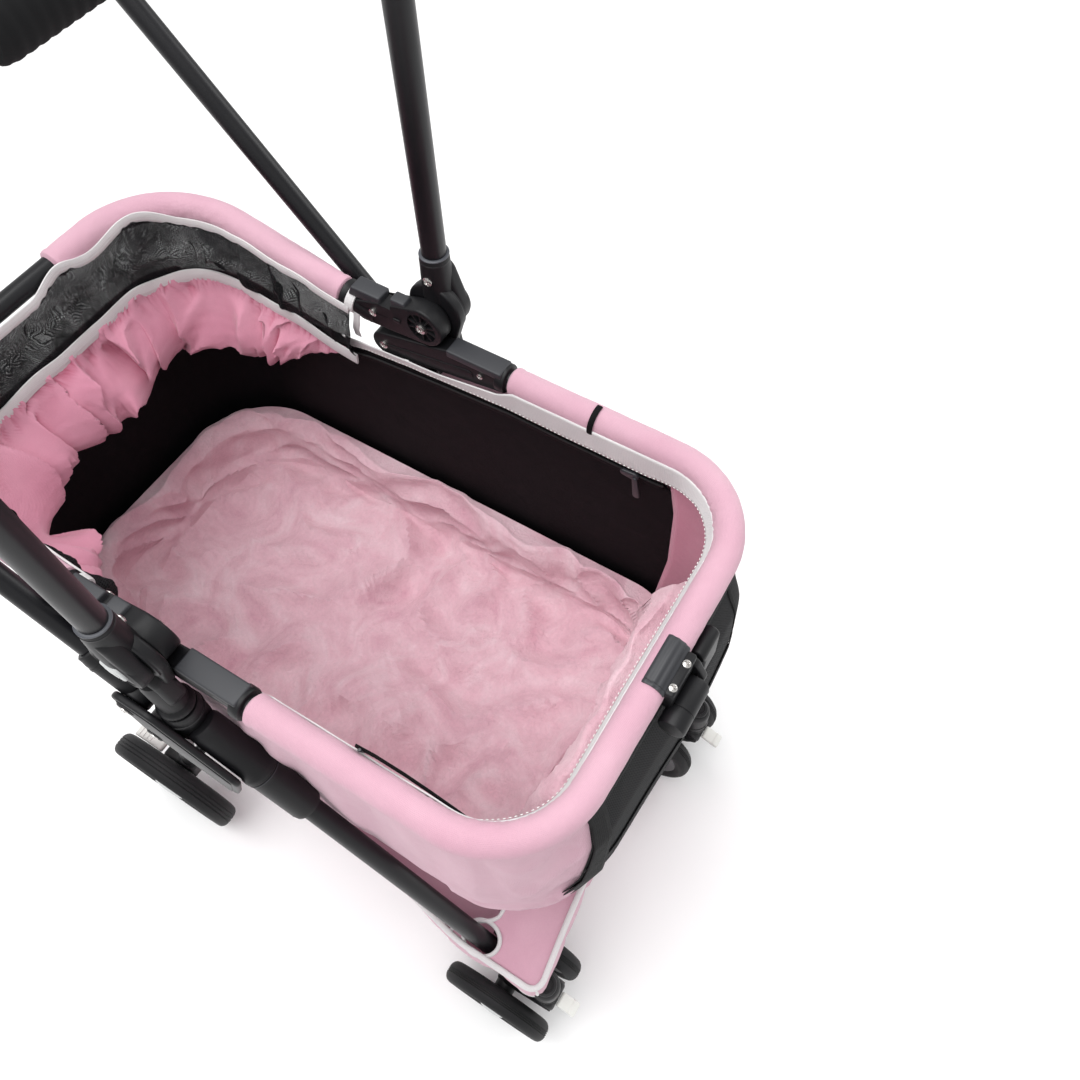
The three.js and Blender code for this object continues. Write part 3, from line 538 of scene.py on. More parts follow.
def settle(obj):
    """Applies every modifier of an object to its mesh."""
    graph = bpy.context.evaluated_depsgraph_get()
    graph.update()
    final = bpy.data.meshes.new_from_object(obj.evaluated_get(graph))
    obj.modifiers.clear()
    obj.data = final


def thicken(obj, thickness):
    """Gives an open piece a thickness, half of it to each side."""
    modifier = obj.modifiers.new("thickness", "SOLIDIFY")
    modifier.thickness = thickness / 1000
    modifier.offset = 0.0
    settle(obj)


def points_of(obj):
    """The points of an object's mesh, in the row frame's metres."""
    co = np.zeros(len(obj.data.vertices) * 3)
    obj.data.vertices.foreach_get("co", co)
    return co.reshape(-1, 3)


def relax_cloth(obj, pinned, frames_run, grow, gravity, cap, pressure=0.0, bend=0.5, stretch=15.0):
    """Runs cloth on an object with some points held, limits how far any point goes, and keeps
    the result. grow is the share by which the cloth is larger than the space it is held in, and
    cap is the limit in metres."""
    before = points_of(obj)
    group = obj.vertex_groups.new(name="held")
    group.add([int(i) for i in np.flatnonzero(pinned)], 1.0, "REPLACE")
    cloth = obj.modifiers.new("cloth", "CLOTH")
    settings = cloth.settings
    settings.quality = 6
    settings.mass = 0.3
    settings.tension_stiffness = settings.compression_stiffness = stretch
    settings.shear_stiffness = 5.0
    settings.bending_stiffness = bend
    settings.air_damping = 4.0
    settings.vertex_group_mass = "held"
    settings.shrink_min = -grow
    settings.effector_weights.gravity = gravity
    if pressure:
        settings.use_pressure = True
        settings.uniform_pressure_force = pressure
    cloth.collision_settings.use_collision = False
    cloth.collision_settings.use_self_collision = False
    cloth.point_cache.frame_start, cloth.point_cache.frame_end = 1, frames_run
    scene = bpy.context.scene
    for frame_number in range(1, frames_run + 1):
        scene.frame_set(frame_number)
    graph = bpy.context.evaluated_depsgraph_get()
    moved = np.zeros(len(before) * 3)
    obj.evaluated_get(graph).data.vertices.foreach_get("co", moved)
    moved = moved.reshape(-1, 3)
    obj.modifiers.clear()
    obj.vertex_groups.clear()
    scene.frame_set(1)
    step = moved - before
    size = np.linalg.norm(step, axis=1, keepdims=True)
    step *= cap * np.tanh(size / cap) / np.maximum(size, 1e-9)
    obj.data.vertices.foreach_set("co", (before + np.nan_to_num(step)).ravel())
    obj.data.update()


def subtract(obj, cutter, overlapping=False):
    modifier = obj.modifiers.new("hole", "BOOLEAN")
    modifier.operation, modifier.object, modifier.solver = "DIFFERENCE", cutter, "EXACT"
    modifier.use_self = overlapping
    settle(obj)


def pierce(obj, tool):
    """Cuts a hole through an object with a closed shape."""
    cutter = make("cutter", tool, binding, None)
    subtract(obj, cutter)
    bpy.data.objects.remove(cutter)


def cut_away(base, tool, join=False):
    """base minus tool, by Blender's exact boolean; join first unites base's overlapping bodies."""
    def temporary(shape, name):
        mesh = bpy.data.meshes.new(name)
        mesh.from_pydata(shape.points.tolist(), [], shape.faces)
        work = bmesh.new()
        work.from_mesh(mesh)
        bmesh.ops.remove_doubles(work, verts=work.verts, dist=1e-3)
        bmesh.ops.recalc_face_normals(work, faces=work.faces)
        work.to_mesh(mesh)
        work.free()
        made = bpy.data.objects.new(name, mesh)
        bpy.context.scene.collection.objects.link(made)
        return made

    a, b = temporary(base, "cut_base"), temporary(tool, "cut_tool")
    subtract(a, b, join)
    mesh = a.data
    result = Shape([v.co for v in mesh.vertices], [p.vertices for p in mesh.polygons])
    for o in (a, b):
        bpy.data.objects.remove(o)
    return result


def sheet(name, points, surface, thickness, replaces=()):
    """A piece of the cabin's cloth, with its thickness, that rides on the carrier."""
    piece = make(name, grid(points), surface, None, replaces)
    thicken(piece, thickness)
    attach(piece, "carrier")


BLEND_START, BLEND_END = row([0, 5, RIM - 15]), row([0, 77.2, RIM + 53.9])


def bend_to_hoop(obj):
    """Bakes an object's transform into its mesh."""
    tuple(BLEND_START)
    tuple(BLEND_END)
    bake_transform(obj)


def ribbon(path, thick, wide, ref=UP, sides=10):
    """A flat band with rounded edges, thick along inward and wide along upward."""
    a = turns(sides)
    section = np.stack([np.sign(np.cos(a)) * np.abs(np.cos(a)) ** 0.6 * thick / 2,
                        np.sign(np.sin(a)) * np.abs(np.sin(a)) ** 0.6 * wide / 2], 1)
    return sweep(path, section, ref)


def stitches(path, normal, length=2.4, gap=1.8, radius=0.35):
    """A line of short raised threads along a path; normal lifts them off the surface."""
    path = np.asarray(path, float)
    lengths = lengths_of(path)
    normal = np.broadcast_to(normal, path.shape)
    shapes, at = [], gap
    while at + length < lengths[-1]:
        ends = [np.array([np.interp(d, lengths, path[:, k]) for k in range(3)]) for d in (at, at + length)]
        lift = np.array([np.interp(at, lengths, normal[:, k]) for k in range(3)])
        along = unit(ends[1] - ends[0])
        mid = (ends[0] + ends[1]) / 2
        profile = [(0.05, -length / 2), (radius, -length / 2 + 0.5), (radius * 1.15, 0),
                   (radius, length / 2 - 0.5), (0.05, length / 2)]
        shapes.append(lathe(profile, mid + lift * 0.25, along, 6))
        at += length + gap
    return total(shapes)


# ---- tubes ------------------------------------------------------------------------------------
def tube(name, path, radius, body, node, ref=UP):
    make(name, sweep(path, circle(radius, 28), ref), tube_paint, body, [node])


BAIL_X, BAIL_TOP = 201, RIM + 432
HUB = np.array([0, -15, RIM + 35])


def bail_point(x, z):
    return np.array([x, HUB[1] - (z - RIM - 66.5) * 0.02, z])


def grip(name, path, radius, body, node, ref):
    """A foam sleeve with rolled ends and fine rings pressed into it."""
    along = lengths_of(path)
    ends = np.minimum(along, along[-1] - along)
    swell = radius - 2.6 * np.exp(-ends / 2.2) + 0.25 * np.sin(along * 2 * math.pi / 7)
    section = circle(1.0, 28)[None] * swell[:, None, None]
    make(name, sweep(path, section, ref), foam, body, [node])


def build_bail():
    path = u_path(BAIL_X, BAIL_TOP, 105, bail_point, RIM + 69, 8)
    tube("carry_bail_tube", path, 11, "bail", "carry_bail", ref=[0, 1, 0])
    path = np.array([bail_point(x, BAIL_TOP) for x in np.linspace(-70, 70, 90)])
    grip("carry_bail_foam", path, 17, "bail", "carry_bail_grip", [0, 1, 0])
    for side, s in SIDES:
        x = s * BAIL_X
        low, high = RIM + 66.5, RIM + 92
        deep = high - low
        cup = lathe([(10, -34), (14.6, -30), (15.2, -16), (14.6, 0), (13.4, 20), (12.7, deep - 0.8),
                     (12.3, deep), (11.6, deep), (11.4, deep - 12)], [x, HUB[1], low], UP, 40)
        outline = [(HUB[1], HUB[2], 24.5), (HUB[1], low + 2, 14.5)]
        knuckle = plate(outline, s * 199.6, s * 214, 4.5, rounding=5)
        cheek = lathe([(24.2, 0), (24.6, 1.5), (23.5, 4.5), (20, 6), (19.2, 5.0), (16.6, 4.6), (15.4, 5.4)],
                      [s * 209, HUB[1], HUB[2]], s * X, 48)
        seam = lathe([(12.9, 0), (13.5, 0.6), (13.5, 2.0), (12.9, 2.6)], [x, HUB[1], high - 6], UP, 40)
        casting(f"bail_socket_{side}", cup + knuckle + cheek + seam, "bail")
        head = screw([s * (BAIL_X - 13.6), HUB[1], high - 21], [-s, 0, 0.02], 4.6, 2.6)
        make(f"bail_socket_{side}_screw", head, nickel, "bail")
        collar = lathe([(11.2, 0), (12.9, 0.1), (13.4, 0.6), (13.4, 1.3), (12.7, 1.9), (11.3, 2.2)],
                       [x, HUB[1] - 0.4, high + 0.3], UP, 48)
        make(f"bail_ring_{side}_collar", collar, ring_grey, "bail", [f"bail_ring_{side}"])
        oval = [(HUB[1] - 3, HUB[2], 9.4), (HUB[1] + 3, HUB[2], 9.4)]
        raised = [(HUB[1] - 2, HUB[2], 5.2), (HUB[1] + 2, HUB[2], 5.2)]
        button = plate(oval, s * 211.6, s * 216.6, 1.8, rounding=4) + plate(raised, s * 215.6, s * 217.2, 0.7)
        make(f"release_button_{side}_cap", button, grey_cap, f"button_{side}", [f"release_button_{side}"])


HANDLE_HALF, HANDLE_CORNER = 205.0, 62
HANDLE_RISE = np.array([0, 325, 385])


def handle_point(s, distance):
    return np.array([s * HANDLE_HALF, 34, RIM - 50]) + distance * unit(HANDLE_RISE)


def build_handle():
    straight = np.linalg.norm(HANDLE_RISE) - HANDLE_CORNER
    leg = [handle_point(-1, d) for d in np.linspace(0, straight, 50)[:-1]]
    for a in np.linspace(0, math.pi / 2, 16):
        p = handle_point(-1, straight + HANDLE_CORNER * math.sin(a))
        p[0] += HANDLE_CORNER - HANDLE_CORNER * math.cos(a)
        leg.append(p)
    leg = np.array(leg)
    bar = leg[-1] + X * (np.linspace(-135, 135, 36)[:, None] - leg[-1, 0])
    path = np.vstack([leg, bar, leg[::-1] * [-1, 1, 1]])
    ref = unit(np.cross(X, HANDLE_RISE))
    tube("push_handle_tube", path, 9.5, "handle", "push_handle", ref=ref)
    path = np.array([[x, 359.0, RIM + 335] for x in np.linspace(-135, 135, 150)])
    grip("push_handle_foam", path, 15.5, "handle", "push_handle_grip", ref)
    for side, s in SIDES:
        disc = plate([(22, RIM - 70, 15)], s * 194, s * 217.6, 2.5, rounding=4)
        ferrule = lathe([(12.2, -14), (13.4, -12), (13.4, 26), (12.8, 30), (12.8, 33), (11.6, 34), (9.8, 34),
                         (9.8, 20)], handle_point(s, 0), HANDLE_RISE, 36)
        band = lathe([(13.2, 0), (13.9, 0.5), (13.9, 3), (13.2, 3.5)], handle_point(s, 18), HANDLE_RISE, 36)
        casting(f"push_handle_knuckle_{side}", disc + ferrule + band, "handle")


CASTER = np.array([193, -350, 0])
REAR_AXLE = (228, 94)
REAR_TOP, REAR_FOOT = np.array([203.0, 25, RIM - 140]), np.array([203.0, *REAR_AXLE])
LEG_TOP, LEG_FOOT = np.array([201.0, -34, RIM - 94]), np.array([193.0, -338, RIM - 552])
LEG_WAY = unit(LEG_FOOT - LEG_TOP)


def leg_point(d):
    return LEG_TOP + d * LEG_WAY


def build_front_frame():
    length = np.linalg.norm(LEG_FOOT - LEG_TOP)
    for side, s in SIDES:
        leg = lathe(rounded(10.5, length - 18, 1), leg_point(18), LEG_WAY, 32)
        make(f"front_leg_{side}_tube", leg.side(s), tube_paint, "chassis", [f"front_leg_{side}"])
        top, low = RIM - 62, RIM - 108
        cup = lathe([(13, low), (16, low + 3), (17, low + 10), (17.2, top - 6), (16.8, top - 2.5),
                     (15.8, top), (12.9, top), (12.6, top - 9)], [201, -17, 0], UP, 40)
        lip = lathe([(16.9, 0), (18.0, 0.8), (18.0, 3.6), (16.9, 4.4)], [201, -17, top - 15], UP, 40)
        thick = lathe([(9, -9), (13.5, -7), (15.6, -2), (16, 6), (16.2, 60), (17.3, 62), (17.5, 65),
                       (17.3, 68), (16.3, 69), (16.3, 70.5), (16.6, 71), (16.2, 74), (15.6, 126), (14.6, 131),
                       (12.6, 132), (10.9, 132), (10.8, 122)], leg_point(0), LEG_WAY, 44)
        web = plate([(-17, RIM - 96, 13), (-37, RIM - 108, 13)], 190, 212, 4, rounding=4)
        casting(f"leg_dock_{side}", (cup + lip + thick + web).side(s), "chassis")
        ring = lathe([(16.2, 0), (16.75, 0.3), (16.75, 0.9), (16.2, 1.2)], leg_point(70.2), LEG_WAY, 44)
        make(f"leg_dock_{side}_seam", ring.side(s), rim_grey, "chassis", slot="grey_plastic")
        plates = [(-4, RIM - 66, 13), (22, RIM - 70, 16), (25, RIM - 140, 17), (-58, RIM - 132, 14),
                  (-34, RIM - 200, 12)]
        outer = plate(plates, 218.5, 225, 2.4, rounding=4)
        rib = plate([(c[0], c[1], c[2] - 6) for c in plates], 224.2, 226.0, 0.8)
        pins = ((22, -70), (25, -140))
        boss = [(8.5, 0), (8.5, 2.2), (7.4, 3.0), (5.6, 3.0), (5.2, 2.2)]
        bosses = [lathe(boss, [224.4, y, RIM + z], X, 32) for y, z in pins]
        casting(f"fold_joint_plate_{side}", total([outer, rib, *bosses]).side(s), "chassis")
        heads = total([screw([226.8, y, RIM + z], X, 4.2) for y, z in pins])
        make(f"fold_joint_plate_{side}_screws", heads.side(s), nickel, "chassis")

        socket = lathe([(13, 141), (16.4, 142), (17, 146), (17, 178), (16.2, 184), (13.6, 187), (13.2, 187),
                        (13.2, 189.4), (12.5, 190.6), (9.5, 191), (9.0, 190.2), (7.6, 190.2), (7.2, 191.0)],
                       CASTER, UP, 40)
        shank = lathe([(10, 0), (14, 1.5), (14.5, 5), (14.5, 44), (13.6, 47.5), (11, 48), (10.8, 40)],
                      LEG_FOOT, -LEG_WAY, 36)
        collar = lathe([(16.8, 0), (17.7, 0.8), (17.7, 3.4), (16.8, 4.2)], CASTER + 150 * UP, UP, 40)
        casting(f"caster_socket_{side}", (socket + shank + collar).side(s), "chassis")
    end = leg_point(452) - 12 * X
    bar = rod(end * [-1, 1, 1], end, 8)
    make("front_cross_bar_tube", bar, tube_paint, "chassis", ["front_cross_bar"])


# ---- wheels -----------------------------------------------------------------------------------
def wheel_parts(radius, width, at, s, spokes):
    """Tyre, moulded rim and hub cap of one wheel whose axle lies along x; s is its outboard way."""
    at = np.array(at)
    w = width / 2
    flank = [(radius - d, h - w) for d, h in ((17, 3.2), (13.5, 1.2), (9, 0.4), (5.4, 1.4), (2.6, 3.8),
                                              (0.9, 7.0), (0, 10.5))]
    tread = []
    for g in np.linspace(-w + 11.2, w - 11.2, 3):
        tread += [(radius, g - 0.7), (radius - 0.9, g - 0.35), (radius - 0.9, g + 0.35), (radius, g + 0.7)]
    profile = flank + tread + [(r, -h) for r, h in reversed(flank)]
    tyre_shape = lathe(profile + [(radius - 19, w - 4), (radius - 19, -w + 4)], at, X, 72, True)
    r = radius - 16.8
    face = w - 3.4
    dished = [(6, face - 2), (r * 0.34, face), (r * 0.40, face - 1.8), (r * 0.74, face - 3.4),
              (r * 0.80, face - 0.6), (r * 0.97, face), (r, face - 1.5)]
    rim_shape = lathe([(d, -h) for d, h in dished] + dished[::-1], at, X, 64)
    for a in turns(spokes):
        out, across = np.array([0, math.cos(a), math.sin(a)]), np.array([0, -math.sin(a), math.cos(a)])
        for way in (-1, 1):
            points = []
            for d, half in ((0.36 * r, 3.6), (0.55 * r, 2.6), (0.80 * r, 3.4)):
                centre = at + way * (face - 2.6) * X + d * out
                points.append([centre + half * (t * across) + lift * way * X
                               for t, lift in ((-1, 0), (-0.7, 1.7), (0.7, 1.7), (1, 0))])
            rim_shape = rim_shape + grid(points, wrap=True, caps=True)
    cap = lathe([(r * 0.30, 0), (r * 0.31, 1.6), (r * 0.27, 3.6), (r * 0.18, 5.0), (r * 0.05, 5.6)],
                at + s * (face - 0.6) * X, s * X, 40)
    return tyre_shape, rim_shape, cap


def build_wheel(name, radius, width, at, s, spokes):
    tyre_shape, rim_shape, cap = wheel_parts(radius, width, at, s, spokes)
    make(f"{name}_tyre", tyre_shape, tyre, name, [name])
    make(f"{name}_rim", rim_shape, rim_grey, name)
    make(f"{name}_hub_cap", cap, grey_cap, name)


def build_casters():
    for side, s in SIDES:
        x, y = CASTER[:2]
        axle = np.array([x, y + 50, 72.0])
        body = plate([(y - 2, 122, 15), (y + 6, 108, 14), (*axle[1:], 15)], x - 17.8, x + 17.8, 5, rounding=5)
        crown = lathe([(14, 118), (16, 122), (16.4, 134), (15.6, 139.2), (12, 140.2)], CASTER, UP, 40)
        barrel = lathe(rounded(13, 52.2, 1.5), axle - 26.1 * X, X, 40)
        pin = lathe(rounded(4.7, 104, 1), axle - 52 * X, X, 24)
        outline = [(y - 6, 121, 9), (axle[1] - 4, axle[2] + 6, 9)]
        ribs = total([plate(outline, x + k * 16.4, x + k * 18.4, 0.7) for k in (-1, 1)])
        casting(f"caster_fork_{side}", (body + crown + barrel + pin + ribs).side(s), f"caster_{side}")
        for place, k in (("inner", -1), ("outer", 1)):
            build_wheel(f"front_wheel_{side}_{place}", 72, 27, [s * (x + k * 40), *axle[1:]], s * k, 6)
        lever = plate([(y - 21, 122, 3.6), (y - 37, 115.8, 3.2)], x - 8.8, x + 8.8, 1.6, rounding=4)
        nib = plate([(y - 35, 116.6, 4.2), (y - 39, 114.6, 3.4)], x - 9.0, x + 9.0, 1.8, rounding=4)
        make(f"swivel_lock_{side}_lever", (lever + nib).side(s), pale, f"swivel_lock_{side}",
             [f"swivel_lock_{side}"])


def build_rear_frame():
    way = unit(REAR_FOOT - REAR_TOP)
    length = np.linalg.norm(REAR_FOOT - REAR_TOP)
    axle_y, axle_z = REAR_AXLE
    for side, s in SIDES:
        leg = lathe(rounded(10, length - 42, 1), REAR_TOP + 22 * way, way, 32)
        make(f"rear_leg_{side}_tube", leg.side(s), tube_paint, "rear_frame", [f"rear_leg_{side}"])
        disc = plate([(25, RIM - 140, 15)], 193, 217.6, 2.5, rounding=4)
        ferrule = lathe([(12, 4), (13, 6), (13, 40), (12.4, 45), (10.4, 46), (10.3, 38)], REAR_TOP, way, 36)
        casting(f"rear_leg_knuckle_{side}", (disc + ferrule).side(s), "rear_frame")
        hub = plate([(axle_y, axle_z, 19), (210, 136, 15), (248, 116, 8)], 190, 217, 4, rounding=5)
        face = plate([(axle_y, axle_z, 14), (213, 130, 10)], 189.0, 191.5, 1)
        stub = lathe(rounded(4.7, 36, 1), [213, *REAR_AXLE], X, 24)
        spacer = lathe([(9, 216), (9, 217.6), (7, 218.2)], [0, *REAR_AXLE], X, 32)
        casting(f"rear_wheel_mount_{side}", (hub + face + stub + spacer).side(s), "rear_frame")
        build_wheel(f"rear_wheel_{side}", 94, 32, [s * 234, *REAR_AXLE], s, 7)
        py, pz = 262, 124
        pedal = plate([(py, pz, 4.8), (py + 37, pz + 6, 4.2)], 191.2, 215.8, 1.8, rounding=4)
        treads = [plate([(py + d, pz + 0.16 * d + 4.4, 1.1)], 194, 213, 0.6, steps=24)
                  for d in (16, 22, 28, 34)]
        make(f"brake_pedal_{side}_tread", total([pedal, *treads]).side(s), pale, f"brake_{side}",
             [f"brake_pedal_{side}"])
    bar = rod([-204.7, *REAR_AXLE], [204.7, *REAR_AXLE], 8)
    make("rear_axle_bar_tube", bar, tube_paint, "rear_frame", ["rear_axle_bar"])


# ---- carrier castings -------------------------------------------------------------------------
HOOP_AXIS = np.array([0, -13, RIM + 28])


def build_hubs():
    for side, s in SIDES:
        plate_shape = plate([(HUB[1], HUB[2], 28), (-6, RIM - 2, 25)], 189, 199, 2.6, rounding=4)
        rib = lathe([(26.5, 0), (27.4, 0.5), (27.4, 2.4), (26.5, 2.9)], [197.2, HUB[1], HUB[2]], X, 56)
        neck = lathe([(9, -100), (11.6, -97), (12, -92), (12, -62), (14.5, -60.6), (16, -58), (16, -55),
                      (14.6, -53), (12.6, -51), (12.4, -12), (11, -6)], [201, -17, RIM], UP, 40)
        flare = plate([(-17, RIM - 30, 15), (-10, RIM - 8, 20)], 190, 208, 4.5, rounding=5)
        casting(f"carrier_hub_{side}", (plate_shape + rib + neck + flare).side(s), "carrier")


def build_front_arms():
    for side, s in SIDES:
        circles = [(38, RIM - 20, 14), (-40, RIM, 12.5), (-90, RIM, 12.5)]
        arm = plate(circles, 170, 188.4, 2.2, rounding=4)
        clear = cut_away(arm, lathe(rounded(22.2, 60, 0.5), HOOP_AXIS + 150 * X, X, 72))
        slab = block((168.8, -97, RIM + 6), (188.8, -38, RIM + 14.4), 1.6)
        end = lathe([(11, -4), (13.2, -3.4), (13.9, -2), (13.9, 5), (13.0, 6.2)],
                    [180, -96, RIM], [0, 1, 0], 40)
        rail = plate([(34, RIM - 23, 5.5), (-60, RIM - 6, 5.5)], 169.2, 170.6, 0.6)
        casting(f"front_arm_{side}", (clear + end + rail).side(s), "carrier")
        make(f"front_arm_{side}_cover", slab.side(s), plastic_top, "carrier")
        heads = screw([169.4, 38, RIM - 20], -X, 4.4, 2.6) + screw([169.2, -74, RIM], -X, 3.2, 2.2)
        make(f"front_arm_{side}_screws", heads.side(s), nickel, "carrier")


def build_rear_arms():
    for side, s in SIDES:
        end_point = hoop_point(180, 78)
        circles = [(*HOOP_AXIS[1:], 21), (end_point[1] - 26, end_point[2] - 4, 12.5)]
        arm = plate(circles, 170, 188.4, 2.2, rounding=4)
        barrel = lathe([(11, 40), (12.6, 42), (12.6, 72), (13.6, 74), (13.6, 77), (12.6, 78), (10, 78)],
                       hoop_point(180, 0), HOOP_WAY, 40)
        recess = lathe(rounded(15.5, 8, 0.3), HOOP_AXIS + 165.2 * X, X, 56)
        notch = block((160, 20, RIM + 34), (186, 34, RIM + 60), 0.6)
        hollow = cut_away(cut_away(arm + barrel, recess, join=True), notch)
        casting(f"rear_arm_{side}", hollow.side(s), "rear_hoop")
        slab = block((171.2, 33, RIM + 28), (188.2, 70, RIM + 40), 1.8, taper=(0, 4))
        step = block((171.2, 2, RIM + 38), (183.6, 20, RIM + 47.5), 1.8, taper=(2, 0))
        make(f"rear_arm_{side}_cover", (slab + step).side(s), plastic_top, "rear_hoop")
        spokes = []
        for a in turns(10) + math.pi / 10:
            out, across = np.array([0, math.cos(a), math.sin(a)]), np.array([0, -math.sin(a), math.cos(a)])
            corners = ((170.6, -0.5), (170.6, 0.5), (173.4, 0.8), (173.4, -0.8))
            points = [[HOOP_AXIS + x * X + d * out + t * across for x, t in corners] for d in (4.5, 15.7)]
            spokes.append(grid(points, wrap=True, caps=True))
        boss = lathe([(5.6, 0), (6.4, 0.6), (6.4, 4.0)], HOOP_AXIS + 169.6 * X, X, 36)
        pin = block((168.6, 10.5, RIM + 22), (171, 18.5, RIM + 26), 0.7)
        make(f"rear_arm_{side}_spokes", (total(spokes) + boss + pin).side(s), plastic, "rear_hoop")
        heads = screw(HOOP_AXIS + 169.4 * X, -X, 5.0, 2.8) + screw([169.4, 42, RIM + 21], -X, 4.2, 2.4)
        make(f"rear_arm_{side}_screws", heads.side(s), nickel, "rear_hoop")


def build_clamp():
    front = -RIM_FRONT - 13.5
    turn = np.radians(np.linspace(66, 158, 24))
    flatten = 1 - 0.05 * np.cos(np.linspace(0, 2 * math.pi, 24) * 2) ** 2
    arcs = [np.stack([r * flatten * np.cos(turn), r * flatten * np.sin(turn)], 1) for r in (15.0, 13.5)]
    around = np.concatenate([arcs[0], arcs[1][::-1]])
    rows = []
    for x, shrink in ((-20, 0.4), (-19.2, 0.0), (-17.2, 0.0), (-16.6, 0.5), (-16, 0.0), (21, 0.0),
                      (23.2, 0.0), (24, 0.4)):
        flat = around * (1 - shrink / 15) + [-RIM_FRONT, RIM]
        rows.append(np.column_stack([np.full(len(flat), x), flat]))
    cover = grid(rows, wrap=True, caps=True)
    boss = block((-18, front - 6.4, RIM - 17), (22, front + 2.5, RIM + 8), 2.2)
    yoke = plate([(front - 3, RIM - 8, 8), (front - 10, RIM - 20, 7.5)], 17, 24, 2, rounding=4)
    barrel = lathe([(7, -30), (10.6, -29.2), (11.4, -27.4), (11.4, -14), (10.9, -13.4), (11.4, -12.8),
                    (11.4, 12), (10.6, 14.4), (7, 15)], [0, front - 13.0, RIM - 22], X, 40)
    tongue = plate([(front - 4, RIM - 16, 7), (front - 7, RIM - 46, 5)], 30, 58, 2.5, rounding=4)
    link = rod([26, front - 8, RIM - 22], [34, front - 7, RIM - 24], 5, 1.2, 24)
    casting("front_clamp", total([boss, yoke, barrel, tongue, link]), "carrier")
    make("front_clamp_cover", cover, plastic_top, "carrier")
    heads = total([screw([x, front - 2.6, RIM + 7.9], [0, -0.2, 1], 3.3, 1.9) for x in (11, -11)])
    make("front_clamp_screws", heads, nickel, "carrier")


# ---- padded sleeves ---------------------------------------------------------------------------
def sleeve(name, path, ref, body, node, corner, seed):
    """A padded fabric tube with hemmed ends, puckered on the inside of its bends."""
    lengths = lengths_of(path)
    ends = np.minimum(lengths, lengths[-1] - lengths)
    angles = turns(44)
    bend = np.array([max(math.exp(-(((d - c) / 62) ** 2)) for c in corner(lengths)) for d in lengths])
    hem = 0.45 * np.exp(-(((ends - 4.5) / 2.6) ** 2)) - 0.7 * np.exp(-(((ends - 9.5) / 1.1) ** 2))
    hem -= 2.9 * np.exp(-ends / 0.8)
    seam = 0.55 * np.exp(-(((angles - 4.35) / 0.055) ** 2)) - 0.35 * np.exp(-(((angles - 4.2) / 0.05) ** 2))
    radii = 13.0 + hem[:, None] + seam
    for i, d in enumerate(lengths):
        for j, a in enumerate(angles):
            c, s = math.cos(a), math.sin(a)
            soft = 0.55 * wobble((d, 14 * c, 14 * s), 34, seed)
            fine = 0.22 * wobble((d * 1.3, 20 * c, 20 * s), 9, seed + 3)
            pucker = abs(wobble((d, 9 * s, 0), 6.5, seed + 7))
            radii[i, j] += soft + fine - bend[i] * max(0.0, c) ** 1.5 * (0.6 - pucker * 2.2)
    section = np.stack([radii * np.cos(angles), radii * np.sin(angles)], 2)
    made = make(name, sweep(path, section, ref), pink, body, [node])


def build_sleeves():
    start = 102.3
    path = refine(u_path(RIM_HALF, RIM_FRONT, RIM_RADIUS, rim_point, start, 3.0), 2.2)
    bends = RIM_FRONT - start - RIM_RADIUS / 2.2
    sleeve("front_rim_sleeve_fabric", path, UP, "carrier", "front_rim_sleeve",
           lambda lengths: (bends, lengths[-1] - bends), 1.0)
    start, bare = 78.3, 38
    whole = refine(u_path(RIM_HALF, HOOP_REACH, HOOP_RADIUS, hoop_point, start, 3.0), 2.2)
    bend_at = HOOP_REACH - start - HOOP_RADIUS / 2.2
    for side, s in SIDES:
        half = whole[s * whole[:, 0] > bare]
        half = half if s < 0 else half[::-1]
        sleeve(f"rear_hoop_sleeve_{side}_fabric", half, HOOP_UP if s > 0 else -HOOP_UP, "rear_hoop",
               f"rear_hoop_sleeve_{side}", lambda lengths: (bend_at,), 5.0 + s)
    rim = u_path(RIM_HALF, RIM_FRONT, RIM_RADIUS, rim_point, 72, 5.0)
    tube("front_rim_tube_steel", rim, 9.5, "carrier", "front_rim_tube")
    hoop = u_path(RIM_HALF, HOOP_REACH, HOOP_RADIUS, hoop_point, 50, 5.0)
    tube("rear_hoop_tube_steel", hoop, 9.5, "rear_hoop", "rear_hoop_tube", ref=HOOP_UP)


# ---- cabin ------------------------------------------------------------------------------------
STATIONS = np.array([(0, 181, 348, 296), (70, 178, 363, 299), (150, 176, 366, 298), (230, 176, 358, 292),
                     (288, 174, 350, 286), (313, 167, 341, 278), (324, 152, 324, 262)], float)


def ring(half, front, rear, front_radius, rear_radius):
    """Points (x, y) round a rounded rectangle, always in the same columns, from the middle of
    the back round by +X."""
    f, r = front_radius, rear_radius
    turn = np.linspace(0, math.pi / 2, 25)[:-1]
    first = [(x, rear) for x in np.linspace(0, half - r, 18)[:-1]]
    first += [(half - r + r * math.sin(a), rear - r + r * math.cos(a)) for a in turn]
    first += [(half, y) for y in np.linspace(rear - r, f - front, 78)[:-1]]
    first += [(half - f + f * math.cos(a), f - front - f * math.sin(a)) for a in turn]
    first += [(x, -front) for x in np.linspace(half - f, 0, 22)]
    return np.array(first + [(-x, y) for x, y in reversed(first[1:-1])])


TOP_RING = ring(181, 348, 296, RIM_RADIUS, HOOP_RADIUS)


